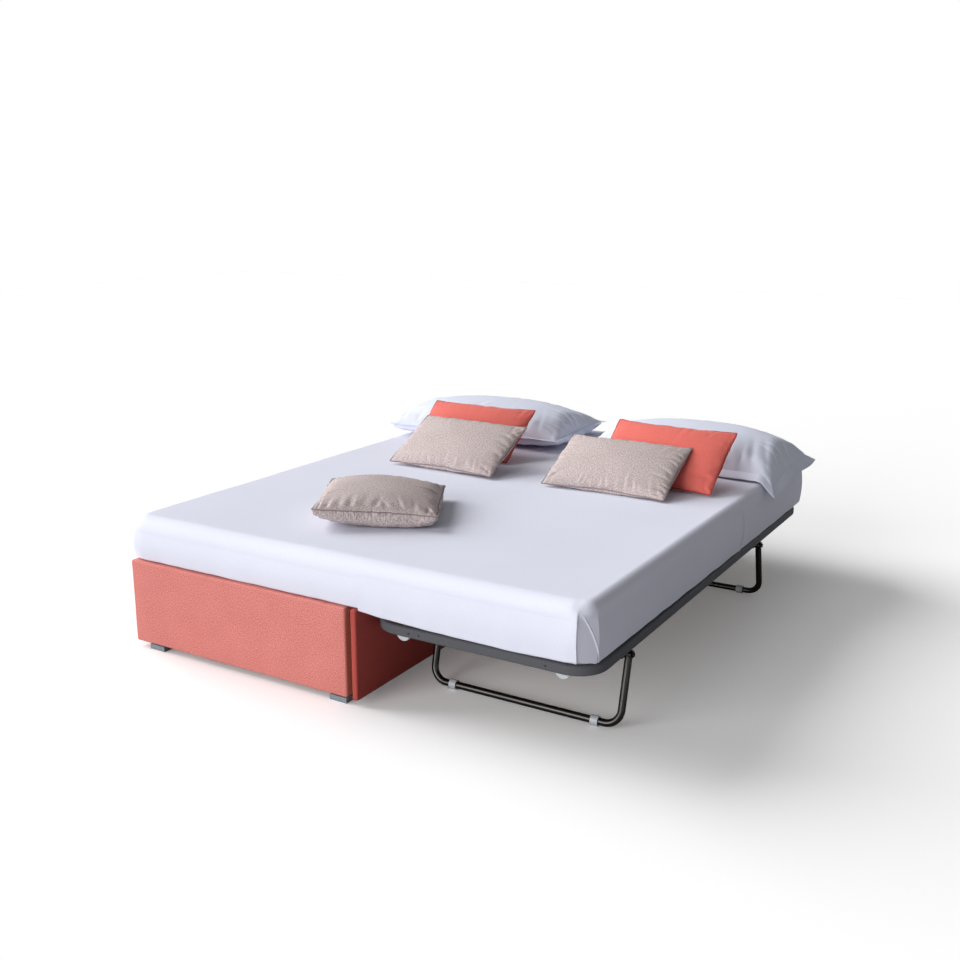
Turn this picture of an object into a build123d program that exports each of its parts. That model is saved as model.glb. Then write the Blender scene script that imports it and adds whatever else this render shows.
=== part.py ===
from build123d import *
import math
import os

# A single bed in an upholstered box, with a second bed on folding legs that pulls out beside it.
# Millimetres. +Z is up, +Y runs from the foot to the head, +X points to the pulled-out bed.
# The origin is on the floor, in the middle of the two beds' footprint.

# How far a cut runs past what it cuts
overrun = 1.0

# The two mattresses, which set the size of what carries them
main_mattress_width = 900.0
main_mattress_length = 2000.0
pullout_mattress_width = 700.0
pullout_mattress_length = 1950.0

# The upholstered box, a little narrower than its mattress and a little longer
mattress_side_overhang = 50.0
box_end_margin = 40.0
box_width = main_mattress_width - mattress_side_overhang
box_length = main_mattress_length + box_end_margin
panel_top = 290.0
panel_thickness = 44.0
padding = 19.0
edge_padding = 8.0
panel_rounding = 12.0

# The block feet under the end panels
foot_height = 16.0
foot_width = 60.0
foot_depth = 40.0
foot_setback = 2.0
foot_inset_left = 61.0
foot_inset_right = 5.0

# The front panel that closes the pull-out's side
front_panel_gap = 19.0
front_panel_thickness = 18.0
front_padding = 9.0
front_edge_padding = 5.0
front_panel_rounding = 7.0
hanger_count = 3
hanger_width = 60.0
hanger_plate = 3.0
hanger_rail_leg = 22.0
hanger_panel_leg = 34.0

# The steel frame and the slats of the box
rail_width = 25.0
rail_height = 30.0
rail_wall = 1.5
right_rail_setback = 4.0
corner_bracket_leg = 45.0
corner_bracket_height = 24.0
corner_bracket_plate = 3.0
bolt_radius = 3.0
bolt_head_radius = 5.5
bolt_head_height = 3.5
bolt_clearance = 0.2
board_bolt_depth = 15.0
end_bolt_count = 3
side_bolt_count = 4
slat_width = 68.0
slat_thickness = 8.0
main_slat_count = 14
main_slat_end_gap = 70.0
holder_floor = 3.0
holder_wall = 3.0
holder_clearance = 0.2
slat_bite = 30.0

# Mattresses and sheets
bed_top = 430.0
mattress_setback = 15.0
mattress_corner = 60.0
mattress_rounding = 40.0
mattress_underside_rounding = 15.0
sheet_thickness = 2.0
beds_seam = 0.4

# The pull-out's rounded steel frame
beds_gap = 5.0
deck_shortfall = 90.0
deck_width = pullout_mattress_width
deck_length = pullout_mattress_length - deck_shortfall
deck_setback = 50.0
deck_bottom = 220.0
tube_width = 22.0
tube_height = 30.0
tube_rounding = 8.0
tube_wall = 1.5
deck_corner = 88.0
pullout_slat_count = 13
pullout_slat_end_gap = 40.0
access_hole_radius = 2.5
access_hole_inset = 36.0
second_access_hole_inset = 70.0

# The folding legs
leg_tube_radius = 10.5
leg_tube_wall = 1.5
leg_bend = 45.0
leg_splay = 48.0
front_leg_reach = 245.0
rear_leg_reach = 1478.0
leg_left_inset = 90.0
leg_pivot_drop = 13.0
leg_side_gap = 0.5
leg_eye_radius = 12.0
leg_eye_length = 20.4
collar_radius = 14.5
collar_length = 22.0
collar_inset = 72.0
collar_clearance = 0.1
pivot_radius = 4.0
pivot_clearance = 0.3
pivot_head_radius = 7.0
pivot_head_height = 4.0
bracket_plate = 3.0
bracket_width = 40.0
bracket_below_pivot = 10.0
cross_tube_width = 20.0
cross_tube_height = 16.0
cross_tube_drop = 0.5

# The wheels that carry the pull-out while it is low
wheel_radius = 22.5
wheel_width = 14.0
wheel_rounding = 2.5
wheel_centre_height = 219.0
wheel_inset = 248.0
wheel_plate = 2.5
wheel_plate_width = 26.0
wheel_plate_below_axle = 8.0
axle_radius = 4.0
axle_clearance = 0.3
axle_head_radius = 6.5
axle_head_height = 3.0
wheel_side_gap = 0.6

# Pillows and cushions
pillow_length = 820.0
pillow_width = 490.0
pillow_height = 145.0
cushion_length = 450.0
cushion_width = 280.0
cushion_height = 84.0
square_side = 385.0
square_height = 108.0
seam_thickness = 8.0
# The share of a cushion's height below its seam: half, or less where it lies on the bed
even_seam_share = 0.5
pillow_seam_share = 0.2
square_seam_share = 0.42
soft_gap = 0.3
pillow_overhang = 65.0

# Shares of a cushion's half length, and of its width and height there
station_shares = (-1.0, -0.82, -0.5, 0.0, 0.5, 0.82, 1.0)
width_shares = (1.0, 0.975, 0.955, 0.95, 0.955, 0.975, 1.0)
height_shares = (0.12, 0.58, 0.9, 1.0, 0.9, 0.58, 0.12)

# Where each cushion's near edge lies: shares of its mattress, then turn and lean in degrees
left_beige_place_shares = (0.600, 0.4825)
left_beige_angles = (-3.0, 29.7)
left_coral_place_shares = (0.521, 0.596)
left_coral_angles = (0.0, 34.6)
right_beige_place_shares = (0.394, 0.501)
right_beige_angles = (0.4, 26.2)
right_coral_place_shares = (0.537, 0.587)
right_coral_angles = (-2.7, 34.0)
square_place_shares = (0.753, 0.2155)
square_turn = 29.0
left_pillow_place_shares = (0.392, 0.845)
left_pillow_turn = 2.0
right_pillow_head_share = 0.841
right_pillow_turn = 1.0

# Worked out from the sizes above
overall_width = (
    box_width + front_panel_gap + front_panel_thickness + beds_gap + deck_width
)
box_left = -overall_width / 2
box_right = box_left + box_width
box_foot = -box_length / 2
box_head = box_length / 2
foot_panel_back = box_foot + panel_thickness
head_panel_front = box_head - panel_thickness
left_panel_inner = box_left + panel_thickness
front_panel_inner = box_right + front_panel_gap
front_panel_outer = front_panel_inner + front_panel_thickness
slat_underside = panel_top - slat_thickness
rail_top = slat_underside - holder_floor
rail_bottom = rail_top - rail_height
right_rail_outer = box_right - right_rail_setback
right_rail_inner = right_rail_outer - rail_width
left_rail_inner = left_panel_inner + rail_width

seam_x = front_panel_outer + beds_seam / 2
main_mattress_right = seam_x - beds_seam / 2 - sheet_thickness
main_mattress_left = main_mattress_right - main_mattress_width
mattress_foot = box_foot + mattress_setback
deck_left = front_panel_outer + beds_gap
deck_right = deck_left + deck_width
deck_foot = box_foot + deck_setback
deck_head = deck_foot + deck_length
deck_top = deck_bottom + tube_height
deck_middle_height = deck_bottom + tube_height / 2
pullout_mattress_left = seam_x + beds_seam / 2 + sheet_thickness
pullout_mattress_right = pullout_mattress_left + pullout_mattress_width
deck_slat_underside = deck_top - slat_thickness
cross_tube_top = deck_slat_underside - holder_floor - cross_tube_drop
cross_tube_bottom = cross_tube_top - cross_tube_height
pivot_height = deck_bottom - leg_pivot_drop
leg_right_x = deck_right - tube_width / 2
leg_left_x = deck_left + leg_left_inset
front_bar_y = box_foot + front_leg_reach
rear_bar_y = box_foot + rear_leg_reach
front_pivot_y = front_bar_y + leg_splay
rear_pivot_y = rear_bar_y - leg_splay
leg_drop = pivot_height - collar_radius
leg_length = math.hypot(leg_drop, leg_splay)
deck_middle_x = (deck_left + deck_right) / 2
wheel_places = (deck_middle_x - wheel_inset, deck_middle_x + wheel_inset)


def keep(piece, name):
    """Labels a finished piece and writes its STEP file."""
    piece.part.label = name
    export_step(piece.part, "parts/" + name + ".step")


def block(x, y, z, mode=Mode.ADD):
    """Adds a box given by its low and high ends along each axis."""
    with Locations((x[0], y[0], z[0])):
        Box(
            x[1] - x[0],
            y[1] - y[0],
            z[1] - z[0],
            align=(Align.MIN, Align.MIN, Align.MIN),
            mode=mode,
        )


def rod(start, direction, radius, length, mode=Mode.ADD):
    """Adds a round rod from a point along a direction."""
    with BuildSketch(Plane(origin=start, z_dir=direction)) as disc:
        Circle(radius)
    extrude(disc.sketch, amount=length, mode=mode)


def spread(low, high, count):
    """Evenly spaced places from low to high."""
    step = (high - low) / (count - 1)
    return [low + step * number for number in range(count)]


# Panels: a board in a padded cover that wraps its face and edges


def end_panel(outer_y, inward, name):
    """Makes the board and cover of the foot or head panel; inward is 1 or -1 along Y."""
    back = outer_y + inward * panel_thickness
    face = outer_y + inward * padding
    ends = (box_left, box_right)
    heights = (foot_height, panel_top)
    board_x = (ends[0] + edge_padding, ends[1] - edge_padding)
    board_z = (heights[0] + edge_padding, heights[1] - edge_padding)
    board_y = tuple(sorted((face, back)))
    with BuildPart() as cover:
        block(ends, tuple(sorted((outer_y, back))), heights)
        shown = cover.faces().sort_by(Axis.Y)[0 if inward > 0 else -1]
        fillet(shown.edges(), panel_rounding)
        block(board_x, board_y, board_z, Mode.SUBTRACT)
    keep(cover, name + "_cover")
    with BuildPart() as board:
        block(board_x, board_y, board_z)
        for x in end_bolt_places():
            rod(
                (x, back, (rail_bottom + rail_top) / 2),
                (0, -inward, 0),
                bolt_radius + bolt_clearance,
                board_bolt_depth + bolt_clearance,
                Mode.SUBTRACT,
            )
    keep(board, name + "_board")


def end_bolt_places():
    """Where the bolts of an end rail sit along X."""
    inset = corner_bracket_leg + bolt_head_radius * 2
    return spread(left_rail_inner + inset, right_rail_inner - inset, end_bolt_count)


def side_bolt_places():
    """Where the bolts of the left rail sit along Y."""
    inset = rail_width + corner_bracket_leg + bolt_head_radius * 2
    return spread(foot_panel_back + inset, head_panel_front - inset, side_bolt_count)


def hanger_places():
    """Where the front panel's hangers sit along Y."""
    inset = rail_width + corner_bracket_leg + hanger_width
    return spread(foot_panel_back + inset, head_panel_front - inset, hanger_count)


def left_panel():
    """Makes the board and cover of the closed side."""
    sides = (foot_panel_back, head_panel_front)
    heights = (foot_height, panel_top)
    board_x = (box_left + padding, left_panel_inner)
    board_z = (heights[0] + edge_padding, heights[1] - edge_padding)
    with BuildPart() as cover:
        block((box_left, left_panel_inner), sides, heights)
        shown = cover.faces().sort_by(Axis.X)[0]
        fillet(shown.edges().filter_by(Axis.Y), panel_rounding)
        block(board_x, sides, board_z, Mode.SUBTRACT)
    keep(cover, "left_side_cover")
    with BuildPart() as board:
        block(board_x, sides, board_z)
        for y in side_bolt_places():
            rod(
                (left_panel_inner, y, (rail_bottom + rail_top) / 2),
                (-1, 0, 0),
                bolt_radius + bolt_clearance,
                board_bolt_depth + bolt_clearance,
                Mode.SUBTRACT,
            )
    keep(board, "left_side_board")


def front_panel():
    """Makes the board and cover of the panel that closes the pull-out's side."""
    sides = (box_foot, box_head)
    heights = (foot_height, panel_top)
    board_x = (front_panel_inner, front_panel_outer - front_padding)
    board_y = (sides[0] + front_edge_padding, sides[1] - front_edge_padding)
    board_z = (heights[0] + front_edge_padding, heights[1] - front_edge_padding)
    with BuildPart() as cover:
        block((front_panel_inner, front_panel_outer), sides, heights)
        fillet(cover.faces().sort_by(Axis.X)[-1].edges(), front_panel_rounding)
        block(board_x, board_y, board_z, Mode.SUBTRACT)
    keep(cover, "front_panel_cover")
    with BuildPart() as board:
        block(board_x, board_y, board_z)
    keep(board, "front_panel_board")


def front_panel_hangers():
    """Makes the plates that carry the front panel from the right rail."""
    rail_x = right_rail_outer
    panel_x = front_panel_inner
    arm_z = (rail_bottom + rail_top) / 2
    with BuildPart() as hangers:
        for y in hanger_places():
            width = (y - hanger_width / 2, y + hanger_width / 2)
            block(
                (rail_x, rail_x + hanger_plate),
                width,
                (arm_z - hanger_rail_leg / 2, arm_z + hanger_rail_leg / 2),
            )
            block((rail_x, panel_x), width, (arm_z - hanger_plate / 2, arm_z + hanger_plate / 2))
            block(
                (panel_x - hanger_plate, panel_x),
                width,
                (arm_z - hanger_panel_leg / 2, arm_z + hanger_panel_leg / 2),
            )
    keep(hangers, "front_panel_hangers")


def block_feet():
    """Makes the four flat feet under the end panels."""
    left = box_left + foot_inset_left
    right = box_right - foot_inset_right - foot_width
    near = box_foot + foot_setback
    far = box_head - foot_setback - foot_depth
    with BuildPart() as feet:
        for x in (left, right):
            for y in (near, far):
                block((x, x + foot_width), (y, y + foot_depth), (0, foot_height))
    keep(feet, "block_feet")


# The box's steel frame


def hollow_bar(x, y, z, along, wall):
    """Adds a rectangular tube with open ends along the axis named."""
    block(x, y, z)
    inner_x = x if along == "X" else (x[0] + wall, x[1] - wall)
    inner_y = y if along == "Y" else (y[0] + wall, y[1] - wall)
    block(inner_x, inner_y, (z[0] + wall, z[1] - wall), Mode.SUBTRACT)


def box_rails():
    """Makes the two side rails and two end rails that carry the slats."""
    heights = (rail_bottom, rail_top)
    middle = (rail_bottom + rail_top) / 2
    sides = (foot_panel_back, head_panel_front)
    hole = bolt_radius + bolt_clearance
    with BuildPart() as left:
        hollow_bar((left_panel_inner, left_rail_inner), sides, heights, "Y", rail_wall)
        for y in side_bolt_places():
            rod((left_rail_inner, y, middle), (-1, 0, 0), hole, rail_width, Mode.SUBTRACT)
    keep(left, "box_left_rail")
    with BuildPart() as right:
        hollow_bar((right_rail_inner, right_rail_outer), sides, heights, "Y", rail_wall)
    keep(right, "box_right_rail")
    for name, low, inward in (
        ("box_foot_rail", foot_panel_back, 1),
        ("box_head_rail", head_panel_front - rail_width, -1),
    ):
        with BuildPart() as rail:
            hollow_bar(
                (left_rail_inner, right_rail_inner),
                (low, low + rail_width),
                heights,
                "X",
                rail_wall,
            )
            for x in end_bolt_places():
                rod((x, low, middle), (0, 1, 0), hole, rail_width, Mode.SUBTRACT)
        keep(rail, name)


def corner_brackets():
    """Makes the angle plates in the frame's four inner corners."""
    leg = corner_bracket_leg
    plate = corner_bracket_plate
    middle = (rail_bottom + rail_top) / 2
    heights = (middle - corner_bracket_height / 2, middle + corner_bracket_height / 2)
    near = foot_panel_back + rail_width
    far = head_panel_front - rail_width
    with BuildPart() as brackets:
        for x, turn_x in ((left_rail_inner, 1), (right_rail_inner, -1)):
            for y, turn_y in ((near, 1), (far, -1)):
                block(
                    tuple(sorted((x, x + turn_x * leg))),
                    tuple(sorted((y, y + turn_y * plate))),
                    heights,
                )
                block(
                    tuple(sorted((x, x + turn_x * plate))),
                    tuple(sorted((y, y + turn_y * leg))),
                    heights,
                )
    keep(brackets, "corner_brackets")


def frame_bolts():
    """Makes the bolts that hold the end rails and the left rail to the boards."""
    middle = (rail_bottom + rail_top) / 2
    with BuildPart() as bolts:
        for back, inward in ((foot_panel_back, 1), (head_panel_front, -1)):
            for x in end_bolt_places():
                seat = back + inward * rail_width
                rod((x, seat, middle), (0, -inward, 0), bolt_radius, rail_width + board_bolt_depth)
                rod((x, seat, middle), (0, inward, 0), bolt_head_radius, bolt_head_height)
        for y in side_bolt_places():
            seat = left_rail_inner
            rod((seat, y, middle), (-1, 0, 0), bolt_radius, rail_width + board_bolt_depth)
            rod((seat, y, middle), (1, 0, 0), bolt_head_radius, bolt_head_height)
    keep(bolts, "frame_bolts")


# Slats and their holders


def slat_places(low, high, count):
    """Centres of the slats along Y."""
    return spread(low + slat_width / 2, high - slat_width / 2, count)


def box_slats():
    """Makes the box's slats and the holders that stand on its side rails."""
    places = slat_places(
        foot_panel_back + main_slat_end_gap,
        head_panel_front - main_slat_end_gap,
        main_slat_count,
    )
    left_end = left_rail_inner - rail_width + holder_wall
    right_end = right_rail_outer - holder_wall
    with BuildPart() as slats:
        for y in places:
            block(
                (left_end, right_end),
                (y - slat_width / 2, y + slat_width / 2),
                (slat_underside, panel_top),
            )
    keep(slats, "box_slats")
    slot = slat_width / 2 + holder_clearance
    with BuildPart() as holders:
        for y in places:
            for x, turn in ((left_panel_inner, 1), (right_rail_outer, -1)):
                block(
                    tuple(sorted((x, x + turn * rail_width))),
                    (y - slot - holder_wall, y + slot + holder_wall),
                    (rail_top, panel_top),
                )
        for y in places:
            block(
                (left_end - holder_clearance, right_end + holder_clearance),
                (y - slot, y + slot),
                (slat_underside, panel_top),
                Mode.SUBTRACT,
            )
    keep(holders, "box_slat_holders")


def pullout_slats():
    """Makes the pull-out's slats and the holders on its side tubes' inner faces."""
    places = slat_places(
        deck_foot + deck_corner + pullout_slat_end_gap,
        deck_head - deck_corner - pullout_slat_end_gap,
        pullout_slat_count,
    )
    left_face = deck_left + tube_width
    right_face = deck_right - tube_width
    left_end = left_face + holder_wall
    right_end = right_face - holder_wall
    with BuildPart() as slats:
        for y in places:
            block(
                (left_end, right_end),
                (y - slat_width / 2, y + slat_width / 2),
                (deck_slat_underside, deck_top),
            )
    keep(slats, "pullout_slats")
    slot = slat_width / 2 + holder_clearance
    with BuildPart() as holders:
        for y in places:
            for x, turn in ((left_face, 1), (right_face, -1)):
                block(
                    tuple(sorted((x, x + turn * (holder_wall + slat_bite)))),
                    (y - slot - holder_wall, y + slot + holder_wall),
                    (deck_slat_underside - holder_floor, deck_top - tube_rounding / 2),
                )
        for y in places:
            block(
                (left_end - holder_clearance, right_end + holder_clearance),
                (y - slot, y + slot),
                (deck_slat_underside, deck_top),
                Mode.SUBTRACT,
            )
    keep(holders, "pullout_slat_holders")


# The pull-out's tube frame


def tube_section(offset_x=0.0):
    """Adds the frame tube's hollow section to the sketch in hand."""
    with Locations((offset_x, 0)):
        RectangleRounded(tube_width, tube_height, tube_rounding)
        RectangleRounded(
            tube_width - 2 * tube_wall,
            tube_height - 2 * tube_wall,
            tube_rounding - tube_wall,
            mode=Mode.SUBTRACT,
        )


def straight_tubes():
    """Makes the four straight runs of the rounded frame."""
    run_y = deck_length - 2 * deck_corner
    run_x = deck_width - 2 * deck_corner
    for name, x in (
        ("pullout_left_tube", deck_left + tube_width / 2),
        ("pullout_right_tube", deck_right - tube_width / 2),
    ):
        start = Plane(
            origin=(x, deck_foot + deck_corner, deck_middle_height),
            x_dir=(-1, 0, 0),
            z_dir=(0, 1, 0),
        )
        with BuildPart() as tube:
            with BuildSketch(start):
                tube_section()
            extrude(amount=run_y)
        keep(tube, name)
    for name, y in (
        ("pullout_foot_tube", deck_foot + tube_width / 2),
        ("pullout_head_tube", deck_head - tube_width / 2),
    ):
        start = Plane(
            origin=(deck_left + deck_corner, y, deck_middle_height),
            x_dir=(0, 1, 0),
            z_dir=(1, 0, 0),
        )
        with BuildPart() as tube:
            with BuildSketch(start):
                tube_section()
            extrude(amount=run_x)
            if name == "pullout_foot_tube":
                for x in access_hole_places():
                    rod(
                        (x, deck_foot, deck_middle_height),
                        (0, 1, 0),
                        access_hole_radius,
                        tube_width / 2,
                        Mode.SUBTRACT,
                    )
        keep(tube, name)


def access_hole_places():
    """The small holes in the foot tube beside the wheels."""
    left, right = wheel_places
    return (
        left + access_hole_inset,
        left + second_access_hole_inset,
        right - access_hole_inset,
    )


def corner_bends():
    """Makes the four quarter bends between the straight runs."""
    left = deck_left + deck_corner
    right = deck_right - deck_corner
    near = deck_foot + deck_corner
    far = deck_head - deck_corner
    with BuildPart() as bends:
        for x, y, start in (
            (left, near, 180),
            (right, near, 270),
            (right, far, 0),
            (left, far, 90),
        ):
            angle = math.radians(start)
            section = Plane(
                origin=(x, y, deck_middle_height),
                x_dir=(math.cos(angle), math.sin(angle), 0),
                z_dir=(math.sin(angle), -math.cos(angle), 0),
            )
            with BuildSketch(section):
                tube_section(deck_corner - tube_width / 2)
            revolve(axis=Axis((x, y, 0), (0, 0, 1)), revolution_arc=90)
    keep(bends, "pullout_corner_bends")


def cross_tubes():
    """Makes the two tubes that carry the legs' brackets under the slats."""
    right_end = leg_right_x - leg_tube_radius - leg_side_gap - bracket_plate
    with BuildPart() as tubes:
        for y in (front_pivot_y, rear_pivot_y):
            hollow_bar(
                (deck_left + tube_width, right_end),
                (y - cross_tube_width / 2, y + cross_tube_width / 2),
                (cross_tube_bottom, cross_tube_top),
                "X",
                tube_wall,
            )
    keep(tubes, "pullout_cross_tubes")


# The folding legs and what they turn on


def leg_bracket_faces():
    """The low X face of each bracket plate: left, then right."""
    offset = leg_tube_radius + leg_side_gap + bracket_plate
    return (leg_left_x - offset, leg_right_x - offset)


def leg_brackets():
    """Makes the plates that the leg pivots pass through."""
    bottom = pivot_height - bracket_below_pivot
    hole = pivot_radius + bolt_clearance
    left, right = leg_bracket_faces()
    with BuildPart() as brackets:
        for y in (front_pivot_y, rear_pivot_y):
            width = (y - bracket_width / 2, y + bracket_width / 2)
            block((left, left + bracket_plate), width, (bottom, cross_tube_bottom))
            block((right, right + bracket_plate), width, (bottom, cross_tube_top))
            for x in (left, right):
                rod((x, y, pivot_height), (1, 0, 0), hole, bracket_plate, Mode.SUBTRACT)
    keep(brackets, "leg_brackets")


def pivot_bolts():
    """Makes the four bolts that the legs turn on, with their nuts."""
    left, right = leg_bracket_faces()
    with BuildPart() as bolts:
        for y in (front_pivot_y, rear_pivot_y):
            for x in (left, right):
                shank = bracket_plate + 2 * (leg_side_gap + leg_tube_radius)
                rod((x, y, pivot_height), (1, 0, 0), pivot_radius, shank)
                rod((x, y, pivot_height), (-1, 0, 0), pivot_head_radius, pivot_head_height)
                rod(
                    (x + shank, y, pivot_height),
                    (1, 0, 0),
                    pivot_head_radius,
                    pivot_head_height,
                )
    keep(bolts, "leg_pivot_bolts")


def leg(pivot_y, bar_y, name):
    """Makes one U-shaped leg and the two floor collars on its bar."""
    plane = Plane(
        origin=(0, pivot_y, pivot_height),
        x_dir=(1, 0, 0),
        z_dir=(0, leg_drop, bar_y - pivot_y),
    )
    with BuildPart() as tube:
        with BuildLine(plane) as route:
            FilletPolyline(
                (leg_left_x, 0),
                (leg_left_x, leg_length),
                (leg_right_x, leg_length),
                (leg_right_x, 0),
                radius=leg_bend,
            )
        start = Plane(origin=route.line @ 0, z_dir=route.line % 0)
        with BuildSketch(start) as outside:
            Circle(leg_tube_radius)
        sweep(outside.sketch, path=route.line)
        for x in (leg_left_x, leg_right_x):
            end = (x - leg_eye_length / 2, pivot_y, pivot_height)
            rod(end, (1, 0, 0), leg_eye_radius, leg_eye_length)
        with BuildSketch(start) as inside:
            Circle(leg_tube_radius - leg_tube_wall)
        sweep(inside.sketch, path=route.line, mode=Mode.SUBTRACT)
        for x in (leg_left_x, leg_right_x):
            reach = leg_tube_radius + overrun
            end = (x - reach, pivot_y, pivot_height)
            hole = pivot_radius + pivot_clearance
            rod(end, (1, 0, 0), hole, 2 * reach, Mode.SUBTRACT)
    keep(tube, name + "_leg_tube")
    with BuildPart() as collars:
        for x in (
            leg_left_x + collar_inset - collar_length / 2,
            leg_right_x - collar_inset - collar_length / 2,
        ):
            with BuildSketch(Plane(origin=(x, bar_y, collar_radius), z_dir=(1, 0, 0))):
                Circle(collar_radius)
                Circle(leg_tube_radius + collar_clearance, mode=Mode.SUBTRACT)
            extrude(amount=collar_length)
    keep(collars, name + "_leg_collars")


# The wheels


def wheel_sets():
    """Makes the wheels' plates, axles and the four wheels."""
    ends = (("foot", deck_foot + tube_width, 1), ("head", deck_head - tube_width, -1))
    low = wheel_centre_height - wheel_plate_below_axle
    high = deck_middle_height + tube_height / 2 - tube_rounding
    reach = wheel_side_gap + wheel_width + wheel_side_gap
    with BuildPart() as plates:
        for _, face, inward in ends:
            for x in wheel_places:
                block(
                    (x - wheel_plate_width / 2, x + wheel_plate_width / 2),
                    tuple(sorted((face, face + inward * wheel_plate))),
                    (low, high),
                )
                rod(
                    (x, face, wheel_centre_height),
                    (0, inward, 0),
                    axle_radius + bolt_clearance,
                    wheel_plate,
                    Mode.SUBTRACT,
                )
    keep(plates, "wheel_plates")
    with BuildPart() as axles:
        for _, face, inward in ends:
            for x in wheel_places:
                seat = face + inward * wheel_plate
                rod((x, face, wheel_centre_height), (0, inward, 0), axle_radius, wheel_plate + reach)
                rod(
                    (x, seat, wheel_centre_height),
                    (0, inward, 0),
                    axle_head_radius,
                    wheel_side_gap / 2,
                )
                rod(
                    (x, seat + inward * reach, wheel_centre_height),
                    (0, inward, 0),
                    axle_head_radius,
                    axle_head_height,
                )
    keep(axles, "wheel_axles")
    for end, face, inward in ends:
        for side, x in zip(("left", "right"), wheel_places):
            start = face + inward * (wheel_plate + wheel_side_gap)
            with BuildPart() as wheel:
                rod((x, start, wheel_centre_height), (0, inward, 0), wheel_radius, wheel_width)
                rims = wheel.edges().filter_by(GeomType.CIRCLE)
                fillet(rims, wheel_rounding)
                rod(
                    (x, start, wheel_centre_height),
                    (0, inward, 0),
                    axle_radius + axle_clearance,
                    wheel_width,
                    Mode.SUBTRACT,
                )
            keep(wheel, end + "_" + side + "_wheel")


# Mattresses, sheets, pillows and cushions


def mattress_form(x, y, z, grown=0.0):
    """Adds a mattress with rounded corners and edges; grown swells it for the sheet."""
    with BuildSketch(Plane.XY.offset(z[0])) as outline:
        with Locations(((x[0] + x[1]) / 2, (y[0] + y[1]) / 2)):
            RectangleRounded(
                x[1] - x[0] + 2 * grown, y[1] - y[0] + 2 * grown, mattress_corner + grown
            )
    extrude(outline.sketch, amount=z[1] + grown - z[0])


def dressed_mattress(x, y, bottom, name):
    """Makes one mattress and the sheet that covers its top and sides."""
    heights = (bottom, bed_top - sheet_thickness)
    with BuildPart() as mattress:
        mattress_form(x, y, heights)
        fillet(mattress.edges().group_by(Axis.Z)[-1], mattress_rounding)
        fillet(mattress.edges().group_by(Axis.Z)[0], mattress_underside_rounding)
    keep(mattress, name + "_mattress")
    hem = bottom + mattress_underside_rounding
    with BuildPart() as sheet:
        mattress_form(x, y, (hem, heights[1]), sheet_thickness)
        fillet(sheet.edges().group_by(Axis.Z)[-1], mattress_rounding + sheet_thickness)
        add(mattress.part, mode=Mode.SUBTRACT)
    keep(sheet, name + "_sheet")


def cushion_form(base, length, width, height, seam_share):
    """Makes a stuffed form about its seam's plane: crowned, its sides drawn in."""
    edge = seam_thickness / 2
    above = height * (1 - seam_share)
    below = height * seam_share
    with BuildPart() as form:
        for station, wide, thick in zip(station_shares, width_shares, height_shares):
            across = Plane(
                origin=base.from_local_coords(Vector(station * length / 2, 0, 0)),
                x_dir=base.y_dir,
                z_dir=base.x_dir,
            )
            half = wide * width / 2
            crown = edge + thick * (above - edge)
            belly = edge + thick * (below - edge)
            with BuildSketch(across):
                with BuildLine():
                    ThreePointArc((-half, edge), (0, crown), (half, edge))
                    Line((half, edge), (half, -edge))
                    ThreePointArc((half, -edge), (0, -belly), (-half, -edge))
                    Line((-half, -edge), (-half, edge))
                make_face()
        loft()
    return form


def pillow_form(base):
    """Makes a bed pillow, which lies on its low seam."""
    return cushion_form(base, pillow_length, pillow_width, pillow_height, pillow_seam_share)


def small_cushion_form(base):
    """Makes a small rectangular cushion."""
    return cushion_form(base, cushion_length, cushion_width, cushion_height, even_seam_share)


def leaning_base(mattress_x, length_y, shares, angles, width):
    """The middle plane of a cushion whose near edge rests on the bed and which leans back."""
    turn, lean = (math.radians(value) for value in angles)
    along = Vector(math.cos(turn), math.sin(turn), 0)
    back = Vector(-math.sin(turn), math.cos(turn), 0)
    up = back * math.cos(lean) + Vector(0, 0, math.sin(lean))
    near = Vector(
        mattress_x[0] + shares[0] * (mattress_x[1] - mattress_x[0]),
        mattress_foot + shares[1] * length_y,
        bed_top + soft_gap + seam_thickness / 2 * math.cos(lean),
    )
    return Plane(origin=near + up * (width / 2), x_dir=along, z_dir=along.cross(up))


def flat_base(x, y, turn, below):
    """The seam's plane of a pillow or cushion that lies flat, so far above the bed."""
    angle = math.radians(turn)
    return Plane(
        origin=(x, y, bed_top + soft_gap + below),
        x_dir=(math.cos(angle), math.sin(angle), 0),
        z_dir=(0, 0, 1),
    )


def box_bedding():
    """Makes what lies on the box: mattress, sheet, pillow and cushions."""
    x = (main_mattress_left, main_mattress_right)
    y = (mattress_foot, mattress_foot + main_mattress_length)
    dressed_mattress(x, y, panel_top, "box")
    place = left_pillow_place_shares
    base = flat_base(
        x[0] + place[0] * main_mattress_width,
        mattress_foot + place[1] * main_mattress_length,
        left_pillow_turn,
        pillow_height * pillow_seam_share,
    )
    keep(pillow_form(base), "left_pillow")
    for name, shares, angles in (
        ("left_coral_cushion", left_coral_place_shares, left_coral_angles),
        ("left_beige_cushion", left_beige_place_shares, left_beige_angles),
    ):
        base = leaning_base(x, main_mattress_length, shares, angles, cushion_width)
        keep(small_cushion_form(base), name)
    place = square_place_shares
    base = flat_base(
        x[0] + place[0] * main_mattress_width,
        mattress_foot + place[1] * main_mattress_length,
        square_turn,
        square_height * square_seam_share,
    )
    form = cushion_form(base, square_side, square_side, square_height, square_seam_share)
    keep(form, "square_cushion")


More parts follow.
